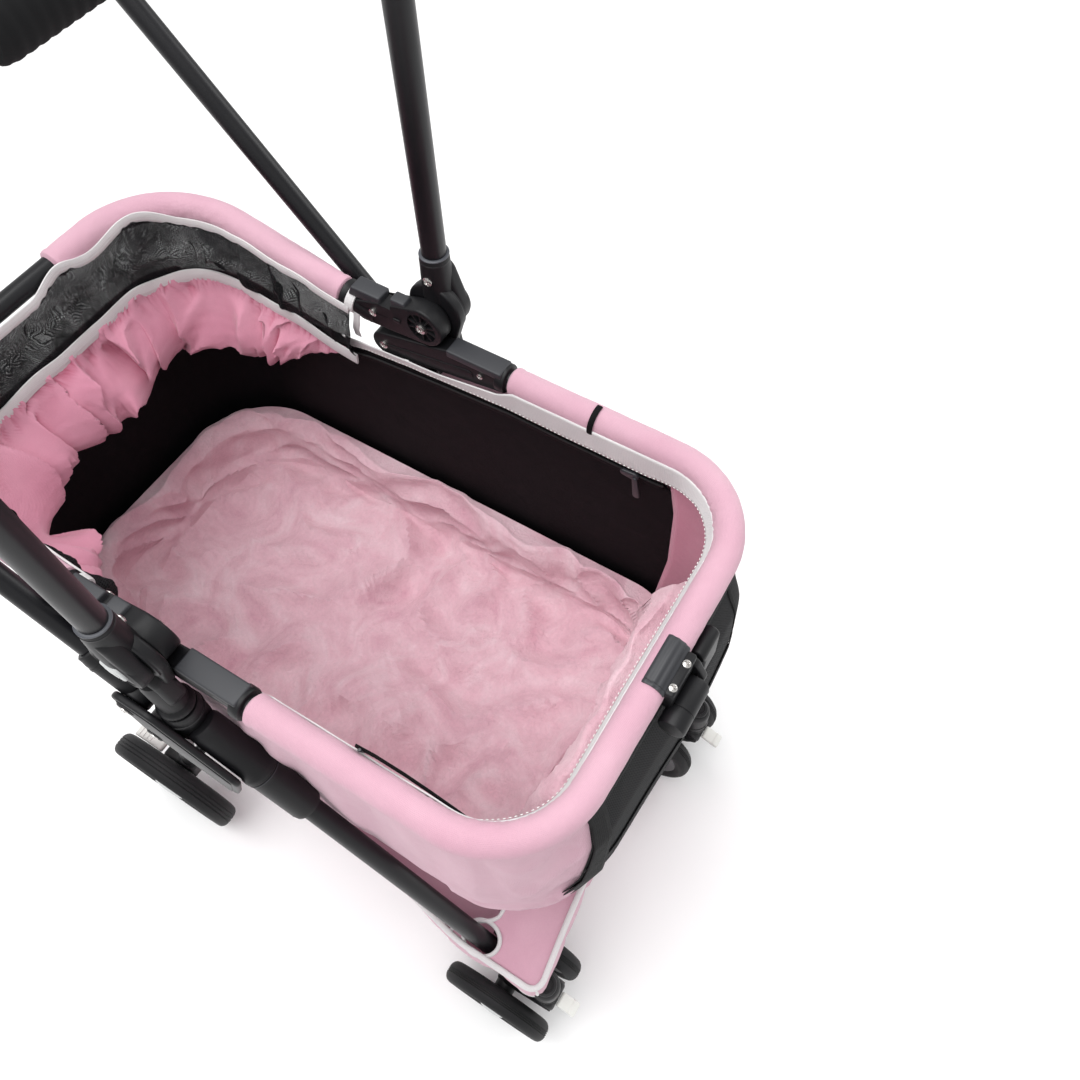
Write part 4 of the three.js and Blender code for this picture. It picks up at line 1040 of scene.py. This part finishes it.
def wall(top, low, rows, inset=0.0, columns=slice(None)):
    """Points of the cabin wall: top and low are depths under the rim for each column."""
    rings = np.array([ring(h - inset, f - inset, r - inset, RIM_RADIUS - inset, HOOP_RADIUS - inset)
                      for _, h, f, r in STATIONS])
    out = np.zeros((rows, len(TOP_RING), 3))
    for j in range(len(TOP_RING)):
        depth = np.linspace(top[j], low[j], rows)
        for k in (0, 1):
            out[:, j, k] = np.interp(depth, STATIONS[:, 0], rings[:, j, k])
        out[:, j, 2] = RIM - depth
    return out[:, columns]


def outward(points):
    """Horizontal way out of the cabin at each of its points."""
    centre = np.clip(points[..., 1], -250, 195)
    way = np.stack([points[..., 0], points[..., 1] - centre, np.zeros(points.shape[:-1])], -1)
    return unit(way)


def inside_rim(points, inset):
    """Points (x, y) of the top ring moved in by an inset, towards where the rim turns round."""
    centre = np.column_stack([np.clip(points[:, 0], RIM_RADIUS - RIM_HALF, RIM_HALF - RIM_RADIUS),
                              np.maximum(points[:, 1], RIM_RADIUS - RIM_FRONT)])
    size = np.linalg.norm(points - centre, axis=1, keepdims=True)
    return centre + (points - centre) / size * (size - 1 - inset[:, None])


def shell_top(y):
    return np.interp(y, [-400, -108, -100, -24, -14, 52, 66, 296], [5, 5, 20, 22, 37, 37, 56, 7])


def fold_cloth(points, amount, scale, seed, sharp=1.0):
    """Shallow creases: ridges of noise drawn out down the cloth, pushed along its way out."""
    out = np.array(points)
    ways = outward(out)
    flat = out.reshape(-1, 3)
    for i, (p, w) in enumerate(zip(flat, ways.reshape(-1, 3))):
        round_way = math.atan2(p[0], p[1] + 20) * 190
        ridge = 1 - 2 * abs(wobble((round_way, p[2] * 0.35, 0), scale, seed)) ** sharp
        soft = wobble((round_way, p[2] * 0.6, 9), scale * 2.4, seed + 4)
        flat[i] = p + w * amount * (0.45 * ridge - 0.1 + 0.7 * soft)
    return out


def window_half(z):
    return float(np.interp(z, [RIM - 262, RIM - 34], [146, 112]))


def front_panel(high, deep, margin, rows):
    """Points of the front wall across the mesh window and a margin past its edges, between two
    depths under the rim."""
    out = []
    for depth in np.linspace(high, deep, rows):
        half, front, rear = (np.interp(depth, STATIONS[:, 0], STATIONS[:, k]) for k in (1, 2, 3))
        flat = ring(half, front, rear, RIM_RADIUS, HOOP_RADIUS)
        flat = flat[flat[:, 1] < -200]
        flat = flat[np.argsort(flat[:, 0])]
        edge = window_half(RIM - depth) + margin
        x = np.concatenate([np.linspace(-edge, -edge + 16, 9), np.linspace(-edge + 20, edge - 20, 64),
                            np.linspace(edge - 16, edge, 9)])
        out.append(np.column_stack([x, np.interp(x, flat[:, 0], flat[:, 1]), np.full(len(x), RIM - depth)]))
    return np.array(out)


def net_swell(points, size):
    """Pushes points of the front wall out as the slack net does, most in the middle."""
    down = np.sin(np.clip((RIM - 5 - points[..., 2]) / 263, 0, 1) * math.pi)
    across = np.cos(np.clip(points[..., 0] / 155, -1, 1) * math.pi / 2)
    return points + np.stack([0 * down, -(size * down * across), 0 * down], -1)


def build_shell():
    top = shell_top(TOP_RING[:, 1])
    walls = wall(top, np.full(len(top), 324.0), 58)
    fade = np.clip((RIM - walls[..., 2]) / 40, 0, 1) * np.clip((walls[..., 2] - RIM + 318) / 30, 0, 1)
    creased = fold_cloth(walls, 4.2, 46, 2.0)
    corner = np.exp(-((np.abs(np.abs(walls[..., 0]) - 165) / 30) ** 2)) * (walls[..., 1] < -250)
    deep = fold_cloth(walls, 9.0, 24, 8.0, 0.8)
    shares = fade * (1 - corner), fade * corner
    walls += (creased - walls) * shares[0][..., None] + (deep - walls) * shares[1][..., None]
    sides = smooth((60 - walls[..., 1]) / 80) * smooth((walls[..., 1] + 330) / 60)
    sag = np.sin(np.clip((RIM - walls[..., 2] - 60) / 270, 0, 1) * math.pi) ** 0.7
    walls[..., 0] += np.sign(walls[..., 0]) * 6.0 * sides * sag * (np.abs(walls[..., 0]) > 150)
    base = [walls[-1] * [k, k, 1] + [0, -24 * (1 - k), 0.5] for k in (0.82, 0.55, 0.28, 0.0)]
    cloth = grid(np.concatenate([walls, base]), wrap=True)
    shell = make("cabin_shell_fabric", cloth, pink, None, ["cabin_shell"])
    x, y, z = points_of(shell).T
    held = (np.abs(z - RIM / 1000) < 0.012) | (z < (RIM - 300) / 1000) | ((np.abs(x) < 0.13) & (y < -0.2))
    relax_cloth(shell, held, 20, grow=0.03, gravity=0.3, cap=0.005, pressure=0.4)
    thicken(shell, 1.4)
    corners = ((-1, RIM - 262), (1, RIM - 262), (1, RIM - 34), (1, RIM + 9), (-1, RIM + 9), (-1, RIM - 34))
    window = [[[x * window_half(z), y, z] for x, z in corners] for y in (-440, -300)]
    pierce(shell, grid(window, wrap=True, caps=True))
    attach(shell, "carrier")


def slack_front(points):
    """Points of the front wall creased and swelled as its net and tapes are."""
    return net_swell(fold_cloth(points, 3.4, 60, 12.0), 9.0)


def build_front_net():
    sheet("cabin_front_net", slack_front(front_panel(5, 268, 7, 56)) - [0, 0.6, 0], front_net,
          0.8, ["cabin_front_mesh"])
    for name, high, deep, width in (("top", 14, 26, 251), ("middle", 118, 128, 270), ("low", 253, 267, 325)):
        strip = slack_front(front_panel(high, deep, 7.5, 6)) - [0, 2.0, 0]
        sheet(f"cabin_front_net_{name}_tape", strip, black_tape,
              1.0)
    for side, s in SIDES:
        edge = fold_cloth(front_panel(10, 268, 7, 60)[:, -10:-1], 3.4, 60, 12.0)
        edge = net_swell(edge, 9.0) + outward(edge) * 1.9
        sheet(f"cabin_front_net_{side}_tape", edge * [s, 1, 1], black_tape,
              1.0)


def build_lining():
    """Black nylon from the front of the door zips round the back, and pink cloth inside the front."""
    y = TOP_RING[:, 1]
    lined = np.flatnonzero(y > -276)
    start = int(np.flatnonzero(np.diff(lined) > 1)[0]) + 1
    order = np.concatenate([lined[start:], lined[:start]])
    upper = np.interp(y, [-276, -266, -250, -150, -30, 60, 120, 180, 296],
                      [84, 46, 31, 29, 33, 42, 56, 64, 66])
    lower = np.full(len(y), 296.0)
    liner = fold_cloth(wall(upper, lower, 44, 7.5, order), -2.0, 40, 17.0)
    sheet("cabin_lining_fabric", liner, lining, 0.9)
    facing = wall(np.full(len(y), 10.0), lower, 40, 8.4, np.flatnonzero(y < -262))
    sheet("cabin_front_facing", fold_cloth(facing, -1.8, 50, 23.0), gathered_pink_fold_shaded,
          0.9)


def band_foot(y):
    """How far under the rim the white band's lower edge is."""
    return np.interp(y, [-346, -310, -272, -249, -154, -100, -30, 59, 121, 178, 196],
                     [12, 15, 24, 28, 28, 27, 32, 40, 54, 63, 66])


def build_top_band():
    edge = TOP_RING[TOP_RING[:, 1] < 196]
    y = edge[:, 1]
    inset_low = np.interp(y, [-346, -300, -262, 200], [18.4, 17.4, 13.0, 10.5])
    high = np.interp(y, [-346, -110, -94, -30, 58, 121, 178, 196], [-1, 0, 10, 22, 28, 34, 44, 50])
    down = band_foot(y)
    band = np.array([np.column_stack([inside_rim(edge, 13.6 + (inset_low - 13.6) * t),
                                      RIM - high - (down - high) * t]) for t in np.linspace(0, 1, 9)])
    band = fold_cloth(band, -0.9, 30, 31.0)
    sheet("cabin_top_band_webbing", band, binding,
          1.1)
    way = outward(band[-1])
    make("cabin_top_band_stitching", stitches(band[-1] - way * 0.9 + [0, 0, 1.8], -way), pale, "carrier")


def build_door_zips():
    x, y = TOP_RING.T
    foot = band_foot(y)
    for side, s in SIDES:
        chosen = np.flatnonzero((s * x > 150) & (y < 92) & (y > -262))
        zip_row = wall(foot + 2, foot + 14, 5, 10.0, chosen)
        sheet(f"door_zip_{side}_tape", zip_row, black_tape,
              0.8)
        coil_path = refine(zip_row[2] - outward(zip_row[2]) * 0.9, 0.7)
        wave_radius = 1.1 + 0.35 * np.cos(np.arange(len(coil_path)) * 2 * math.pi / 3)
        section = circle(1.0, 8)[None] * wave_radius[:, None, None]
        make(f"door_zip_{side}_coil", sweep(coil_path, section), dark_recess, "carrier")
        slider = plate([(-236, RIM - 36, 4.6), (-226, RIM - 36, 3.6)], 164.6, 168.6, 1.3)
        pull = plate([(-238, RIM - 38, 2.6), (-241, RIM - 60, 3.6)], 163.2, 165.0, 0.7)
        make(f"door_zip_{side}_slider", (slider + pull).side(s), rim_grey, "carrier")


def build_rim_straps():
    turn = np.radians(np.linspace(72, 232, 30))
    path = np.column_stack([180 + 14.5 * np.cos(turn), np.full(30, -190.0), RIM + 14.5 * np.sin(turn)])
    path = np.vstack([path, [169.4, -190, RIM - 24]])
    strap = ribbon(refine(path, 1.5), 1.3, 5.5, ref=[0, 1, 0])
    make("rim_strap_left_tape", strap, black_tape, "carrier")
    path = np.array([[-165.0, -188, 7], [-163.4, -204, 3], [-162.6, -228, -2], [-162.6, -252, -7],
                     [-163.4, -276, -10], [-164.8, -296, -12]])
    tab = ribbon(refine(path + RIM * UP, 2.0), 1.8, 9)
    make("rim_strap_right_tape", tab, black_tape, "carrier")
    hook = rod([-166.5, -193, RIM + 9], [-163.4, -193, RIM - 2], 1.6, 0.6, 14)
    make("rim_strap_right_hook", hook, rim_grey, "carrier")


# ---- rear net, bindings and gathered cover -----------------------------------------------------
def hoop_u(inset, start):
    return u_path(RIM_HALF - inset, HOOP_REACH - inset, HOOP_RADIUS - inset, hoop_point, start, 4.0)


def hoop_sheet(profile, start, columns):
    """Rows of a cloth hung inside the hoop: profile is a list of (inset, drop)."""
    return np.array([even(hoop_u(inset, start), columns) - UP * drop for inset, drop in profile])


def inward_of(points):
    return -unit(np.stack([points[..., 0], points[..., 1] - np.clip(points[..., 1], -300, 202),
                           0 * points[..., 0]], -1))


def build_rear_net():
    columns = 300
    across = np.linspace(-1, 1, columns) * 180
    wavy = np.array([wobble((a * 2.2, 0, 0), 60, 40.0) for a in across])
    peaks = np.maximum(0.0, wavy) ** 1.4
    peaks += 0.7 * np.exp(-((across - 62) / 13) ** 2) + 0.5 * np.exp(-((across - 22) / 9) ** 2)
    upper = even(hoop_u(14.2, 66), columns) - UP * (5 - 15 * np.minimum(peaks, 1.1)[:, None])
    lower = even(hoop_u(16, 66), columns) - UP * (68 + 5 * np.roll(wavy, 40)[:, None])
    band = np.array([upper * (1 - t) + lower * t for t in np.linspace(0, 1, 26)])
    ways = inward_of(band)
    for i, line in enumerate(band):
        slack = math.sin(math.pi * i / (len(band) - 1))
        for j, p in enumerate(line):
            fold = wobble((j * 4.1, p[2] * 0.5, 3), 38, 44.0)
            crease = 1 - 2 * abs(wobble((j * 4.1, p[2] * 0.9, 8), 22, 46.0))
            line[j] = p + ways[i, j] * slack * (19.0 * fold + 8.0 * crease - 2)
    piece = make("rear_net_band", grid(band), net, None)
    thicken(piece, 0.7)
    bend_to_hoop(piece)
    low_path = lower + 4.5 * inward_of(lower) + UP * 2
    bend_to_hoop(make("rear_net_top_binding", ribbon(upper, 2.6, 10), binding, None))
    bend_to_hoop(make("rear_net_low_binding", ribbon(low_path, 2.8, 15), binding, None))


def build_gathered_cover():
    """Cloth sewn to the net's lower binding, bulging inwards and tucked under."""
    profile = [(17, 65), (25, 67), (34, 70), (43, 75), (51, 82), (57, 90), (60, 99), (59, 108), (54, 115),
               (46, 119), (38, 119), (30, 115), (24, 109)]
    count = 420
    rows = hoop_sheet(profile, 68, count)
    reach = np.minimum(np.arange(count), np.arange(count)[::-1]) / (count - 1)
    open_out = 0.1 + 0.9 * smooth(reach / 0.2)
    rows = rows[:1] + (rows - rows[:1]) * open_out[None, :, None]
    down = np.linspace(0, 1, 44)
    gathered = between(rows, down * (len(profile) - 1))
    ways = inward_of(gathered)
    rear = np.clip((gathered[..., 1] - 90) / 140, 0, 1)
    for i, t in enumerate(down):
        free = min(1.0, t / 0.16) * min(1.0, (1 - t) / 0.16)
        for j in range(count):
            s = j * 2.3
            slant = s + 210 * t * wobble((s, 0, 4), 120, 49.0) + 40 * wobble((s, t * 60, 0), 90, 48.0)
            big = wobble((slant, t * 50, 0), 74, 50.0)
            crease = 0.5 - abs(wobble((slant, t * 70, 5), 62, 53.0)) * 2.2
            second = 0.5 - abs(wobble((slant * 0.8 + 90 * t, t * 90, 2), 44, 57.0)) * 2.2
            gather = abs(wobble((s * 5.0, 0, 0), 14, 60.0)) * math.exp(-t / 0.1)
            push = free * open_out[j] * (17 * big + 19 * crease + 10 * second) * (0.8 + 0.35 * rear[i, j])
            sag = 12 * wobble((slant, 0, 12), 60, 63.0) - 14 * rear[i, j] * max(0.0, t - 0.3)
            gathered[i, j] += ways[i, j] * (push + 0.9 * gather) + [0, 0, free * open_out[j] * sag]
    cover = make("gathered_cover_fabric", grid(gathered), gathered_pink_fold_shaded, None, ["gathered_cover"])
    edges = np.ones(gathered.shape[:2], bool)
    edges[2:-2, 3:-3] = False
    held = edges.ravel() if len(points_of(cover)) == edges.size else np.zeros(len(points_of(cover)), bool)
    relax_cloth(cover, held, 22, grow=0.16, gravity=0.6, cap=0.012, bend=0.2, stretch=12)
    thicken(cover, 1.2)
    bend_to_hoop(cover)


def build_hoop_ties():
    for side, s in SIDES:
        loop = lathe([(12.4, -4.6), (14.2, -4.4), (14.7, -2), (14.5, 0.5), (14.8, 3), (14.1, 4.5),
                      (12.4, 4.7)], hoop_point(180, 66), HOOP_WAY, 44)
        tail = [[168.6, 63, RIM + 10], [167.4, 65, RIM - 2], [168.0, 69, RIM - 14], [170.4, 71, RIM - 26]]
        strap = ribbon(refine(tail, 1.5), 7.5, 1.4, ref=[1, 0, 0.2])
        make(f"hoop_tie_{side}_tape", (loop + strap).side(s), binding, "rear_hoop")


# ---- pad --------------------------------------------------------------------------------------
PAD_CORNERS = (74, 90)


def pad_ring(half, front, rear, z, k=1.0):
    """One row round the pad at a height, drawn in by k towards its middle."""
    flat = ring(half, front, rear, *PAD_CORNERS) * k + [0, -24 * (1 - k)]
    return np.column_stack([flat, np.broadcast_to(z, len(flat))])


def build_pad():
    floor = RIM - 313.1
    seat = floor + 26
    lip = seat + 24
    border = 512 + 148 * smooth((-268 - ring(150, 316, 264, *PAD_CORNERS)[:, 1]) / 50)
    rows = [pad_ring(128, 280, 232, seat, k) for k in (0.05, 0.2, 0.36, 0.52, 0.68, 0.84)]
    rows += [pad_ring(128, 280, 232, seat), pad_ring(140, 296, 246, seat + 9), pad_ring(145, 302, 252, lip)]
    rows += [pad_ring(147 + 2 * t, 298 + 12 * t, 256 + 6 * t, lip + (border - 12 - lip) * t)
             for t in np.linspace(0.15, 1, 10)]
    above = len(rows) + 2
    rows += [pad_ring(152, 315, 268, border - 3), pad_ring(156, 320, 272, border),
             pad_ring(161, 325, 276, border - 3)]
    rows += [pad_ring(164 - 5 * t, 328 - 6 * t, 279 - 8 * t, border - 12 + (RIM - 263 - border) * t)
             for t in np.linspace(0, 1, 9)]
    rows += [pad_ring(157, 318, 268, RIM - 283), pad_ring(145, 303, 254, RIM - 303)]
    rows += [pad_ring(130, 288, 240, floor, k) for k in (1.0, 0.7, 0.35, 0.05)]
    fine = np.linspace(0, len(rows) - 1, 130)
    dense = between(np.array(rows), fine)
    for line in dense[:int((fine < above).sum())]:
        for j, p in enumerate(line):
            lump = wobble((p[0] + 0.5 * p[2], p[1] - 0.4 * p[2], p[2] * 0.4), 58, 70.0)
            ridge = 1 - 2 * abs(wobble((p[0] * 0.9 + p[2], p[1] * 0.8, p[2]), 44, 74.0)) ** 0.8
            small = wobble((p[0], p[1], p[2]), 17, 78.0)
            steep = min(1.0, max(0.0, (p[2] - seat) / 40))
            size = 14.0 * lump + 12.0 * ridge + 3.0 * small
            ramp = 26 * float(smooth((-p[1] - 170) / 110)) * (1 - steep)
            rise = (1 - steep) * (size + 5 + ramp)
            line[j] = p - steep * (0.8 * size + 3) * outward(p) + rise * UP
    pad = make("cabin_pad_plush", grid(dense, wrap=True, caps=True), plush, None, ["cabin_floor_pad"])
    held = points_of(pad)[:, 2] < (floor + 3) / 1000
    relax_cloth(pad, held, 16, grow=0.02, gravity=0.2, cap=0.008, pressure=2.5, bend=2.0)
    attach(pad, "floor_pad")


# ---- storage basket ----------------------------------------------------------------------------
BASKET_LOW, BASKET_HIGH = 167, 268


def storage_ring(grow, z):
    """One row round the basket, wide at the front legs and narrow behind them."""
    wide, narrow = 213 + grow, 187 + grow
    corners = [(narrow, 150 + grow), (-narrow, 150 + grow), (-narrow, -110), (-wide, -250),
               (-wide, -356 - grow), (wide, -356 - grow), (wide, -250), (narrow, -110)]
    corners = np.array([(*c, z) for c in corners], float)
    counts = (44, 36, 18, 14, 52, 14, 18, 36)
    points = np.vstack([a + (b - a) * np.arange(n)[:, None] / n
                        for a, b, n in zip(corners, np.roll(corners, -1, 0), counts)])
    return sum(np.roll(points, k, 0) for k in (-2, -1, 0, 1, 2)) / 5


def basket_rows():
    """Rows of the basket from its top edge down the wall and in to the middle of its floor."""
    low, high = BASKET_LOW, BASKET_HIGH
    rows = [storage_ring(-2 - 1.5 * t, high - (high - low - 22) * t) for t in np.linspace(0, 1, 22)]
    rows += [storage_ring(-6, low + 12), storage_ring(-12, low + 5), storage_ring(-30, low + 2.4)]
    rest = rows[-1]
    centre = np.array([0, -100, rest[0, 2]])
    rows += [centre + (rest - centre) * k + [0, 0, -1.4 * (1 - k)]
             for k in (0.85, 0.68, 0.5, 0.32, 0.15, 0.0)]
    body = np.array(rows)
    for i in range(1, 25):
        hang = math.sin(math.pi * i / 24)
        for j, p in enumerate(body[i]):
            way = unit(p - [0, np.clip(p[1], -320, 120), p[2]])
            fold = wobble((j * 5, p[2], 0), 48, 90.0)
            crease = 1 - 2 * abs(wobble((j * 5 + p[2], p[2] * 0.6, 4), 30, 94.0)) ** 0.8
            by_leg = float(abs(p[0]) > 190) * float(smooth((-170 - p[1]) / 50))
            push = (1.6 * fold + 1.8 * crease - 2.0) * (1 - 0.85 * by_leg) + 1.8 * by_leg
            body[i, j] = p + way * hang * push
    front = smooth((-330 - body[:, :, 1]) / 12)
    body[:, :, 1] += 20 * front * np.cos(np.clip(body[:, :, 0] / 213, -1, 1) * math.pi / 2)
    return body


def pierce_leg(obj, s):
    pierce(obj, rod(leg_point(300) * [s, 1, 1], leg_point(600) * [s, 1, 1], 16.5, sides=40))


def piping(name, path, radius, ref=UP):
    """A white cord-like edge, sewn on."""
    make(f"storage_{name}_piping", sweep(path, circle(radius, 12), ref), binding, "chassis")


def build_storage(body):
    tray = make("storage_basket_fabric", grid(body, wrap=True), pink, None, ["storage_basket"])
    z = points_of(tray)[:, 2] * 1000
    held = (z > BASKET_HIGH - 3) | (z < BASKET_LOW + 12)
    relax_cloth(tray, held, 16, grow=0.03, gravity=0.3, cap=0.004)
    thicken(tray, 1.6)
    for s in (-1, 1):
        pierce_leg(tray, s)
        pierce(tray, rod((CASTER + 120 * UP) * [s, 1, 1], (CASTER + 200 * UP) * [s, 1, 1], 21, sides=48))
    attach(tray, "chassis")
    closed = refine(np.vstack([body[0], body[0, :2]]), 3.0)
    make("storage_top_piping", sweep(closed + [0, 0, 0.6], circle(3.3, 14)), binding, "chassis")


def build_flap():
    """Cloth that closes the front of the basket's mouth, with a hole for each leg."""
    across = np.linspace(-1, 1, 120)
    x = across * 208
    bow = np.cos(across * math.pi / 2)
    front_edge = -352 + 19 * bow
    back_edge = -238 - 38 * smooth((202 - np.abs(x)) / 37)
    rows = []
    for t in np.linspace(0, 1, 34):
        arch = math.sin(math.pi * t)
        y = back_edge + (front_edge - back_edge) * t
        pucker = np.array([1.6 * wobble((a, b, 0), 30, 97.0) * arch for a, b in zip(x, y)])
        rows.append(np.column_stack([x, y, BASKET_HIGH - 2.5 - 7 * arch * bow ** 0.5 + pucker]))
    flap = make("storage_front_flap", grid(rows), pink, None)
    thicken(flap, 1.4)
    for s in (-1, 1):
        pierce_leg(flap, s)
    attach(flap, "chassis")
    piping("flap", refine(rows[0] + [0, 0, 0.7], 3.0), 2.2)


def build_basket_piping(body):
    a = np.linspace(0, 2 * math.pi, 41)
    c, d = np.cos(a), np.sin(a)
    for side, s in SIDES:
        mouth, foot = (leg_point((LEG_TOP[2] - z) / -LEG_WAY[2]) * [s, 1, 1]
                       for z in (BASKET_HIGH - 4, BASKET_LOW + 6))
        piping(f"flap_hole_{side}", mouth + np.column_stack([18 * c, 21 * d, 1.5 + 0 * a]), 2.4)
        piping(f"leg_hole_{side}", foot + np.column_stack([18 * c, 22.5 * d, 0 * a]), 2.0)
        column = int(np.argmin(np.hypot(body[3, :, 0] - s * 211, body[3, :, 1] + 354)))
        piping(f"corner_{side}", refine(body[:18, column] + [s * 0.8, -0.8, 0], 3.0), 1.9, X)


# ---- whole ------------------------------------------------------------------------------------
build_bail()
build_handle()
build_front_frame()
build_casters()
build_rear_frame()
build_hubs()
build_front_arms()
build_rear_arms()
build_clamp()
build_sleeves()
build_shell()
build_front_net()
build_lining()
build_top_band()
build_door_zips()
build_rim_straps()
build_rear_net()
build_gathered_cover()
build_hoop_ties()
build_pad()
basket = basket_rows()
build_storage(basket)
build_flap()
build_basket_piping(basket)

floor_board = bpy.data.objects["cabin_floor_board"]
floor_board.data.materials.clear()
floor_board.data.materials.append(board.material)


# ---- stage ------------------------------------------------------------------------------------
# the camera as fitted to the photograph: its place, its axes in the frame, and its lens
CAMERA_AT = (-0.26747, -0.41705, 1.36893)
CAMERA_RIGHT = Vector((0.5219974, -0.8525015, -0.0275678))
CAMERA_UP = Vector((0.7428627, 0.4385068, 0.5058327))
CAMERA_LENS, SENSOR_WIDTH = 31.216, 36
GROUND_REACH = 6000


def build_stage():
    scene = bpy.context.scene
    camera_data = bpy.data.cameras.new("camera")
    camera_data.lens, camera_data.sensor_width = CAMERA_LENS, SENSOR_WIDTH
    camera = bpy.data.objects.new("camera", camera_data)
    axes = Matrix((CAMERA_RIGHT, CAMERA_UP, CAMERA_RIGHT.cross(CAMERA_UP)))
    camera.matrix_world = Matrix.Translation(CAMERA_AT) @ axes.transposed().to_4x4()
    scene.collection.objects.link(camera)
    scene.camera = camera

    world = bpy.data.worlds.new("studio")
    world.use_nodes = True
    world.node_tree.nodes["Background"].inputs["Color"].default_value = (1, 1, 1, 1)
    world.node_tree.nodes["Background"].inputs["Strength"].default_value = 0.75
    scene.world = world
    scene.view_settings.view_transform = "Standard"

    lamps = (("overhead", (-0.5, 0.3, 3.0), 2.4, 75), ("side", (2.4, -1.4, 2.0), 1.6, 22))
    for name, at, size, power in lamps:
        light = bpy.data.lights.new(name, "AREA")
        light.size, light.energy = size, power
        lamp = bpy.data.objects.new(name, light)
        lamp.location = at
        lamp.rotation_euler = (Vector((0, 0, 0.5)) - Vector(at)).to_track_quat("-Z", "Y").to_euler()
        scene.collection.objects.link(lamp)

    corners = [[[x * GROUND_REACH, y * GROUND_REACH, 0] for x in (-1, 1)] for y in (-1, 1)]
    make("ground", grid(corners), floor_surface(), None)


def floor_surface():
    made = Surface("studio_floor", "pale_plastic", Roughness=0.9)
    tone = made.ramp(made.noise(3.0, 4.0, 0.5), (0.3, linear(249, 249, 249)), (0.7, linear(254, 254, 254)))
    return made.feed(Base_Color=tone)


build_stage()
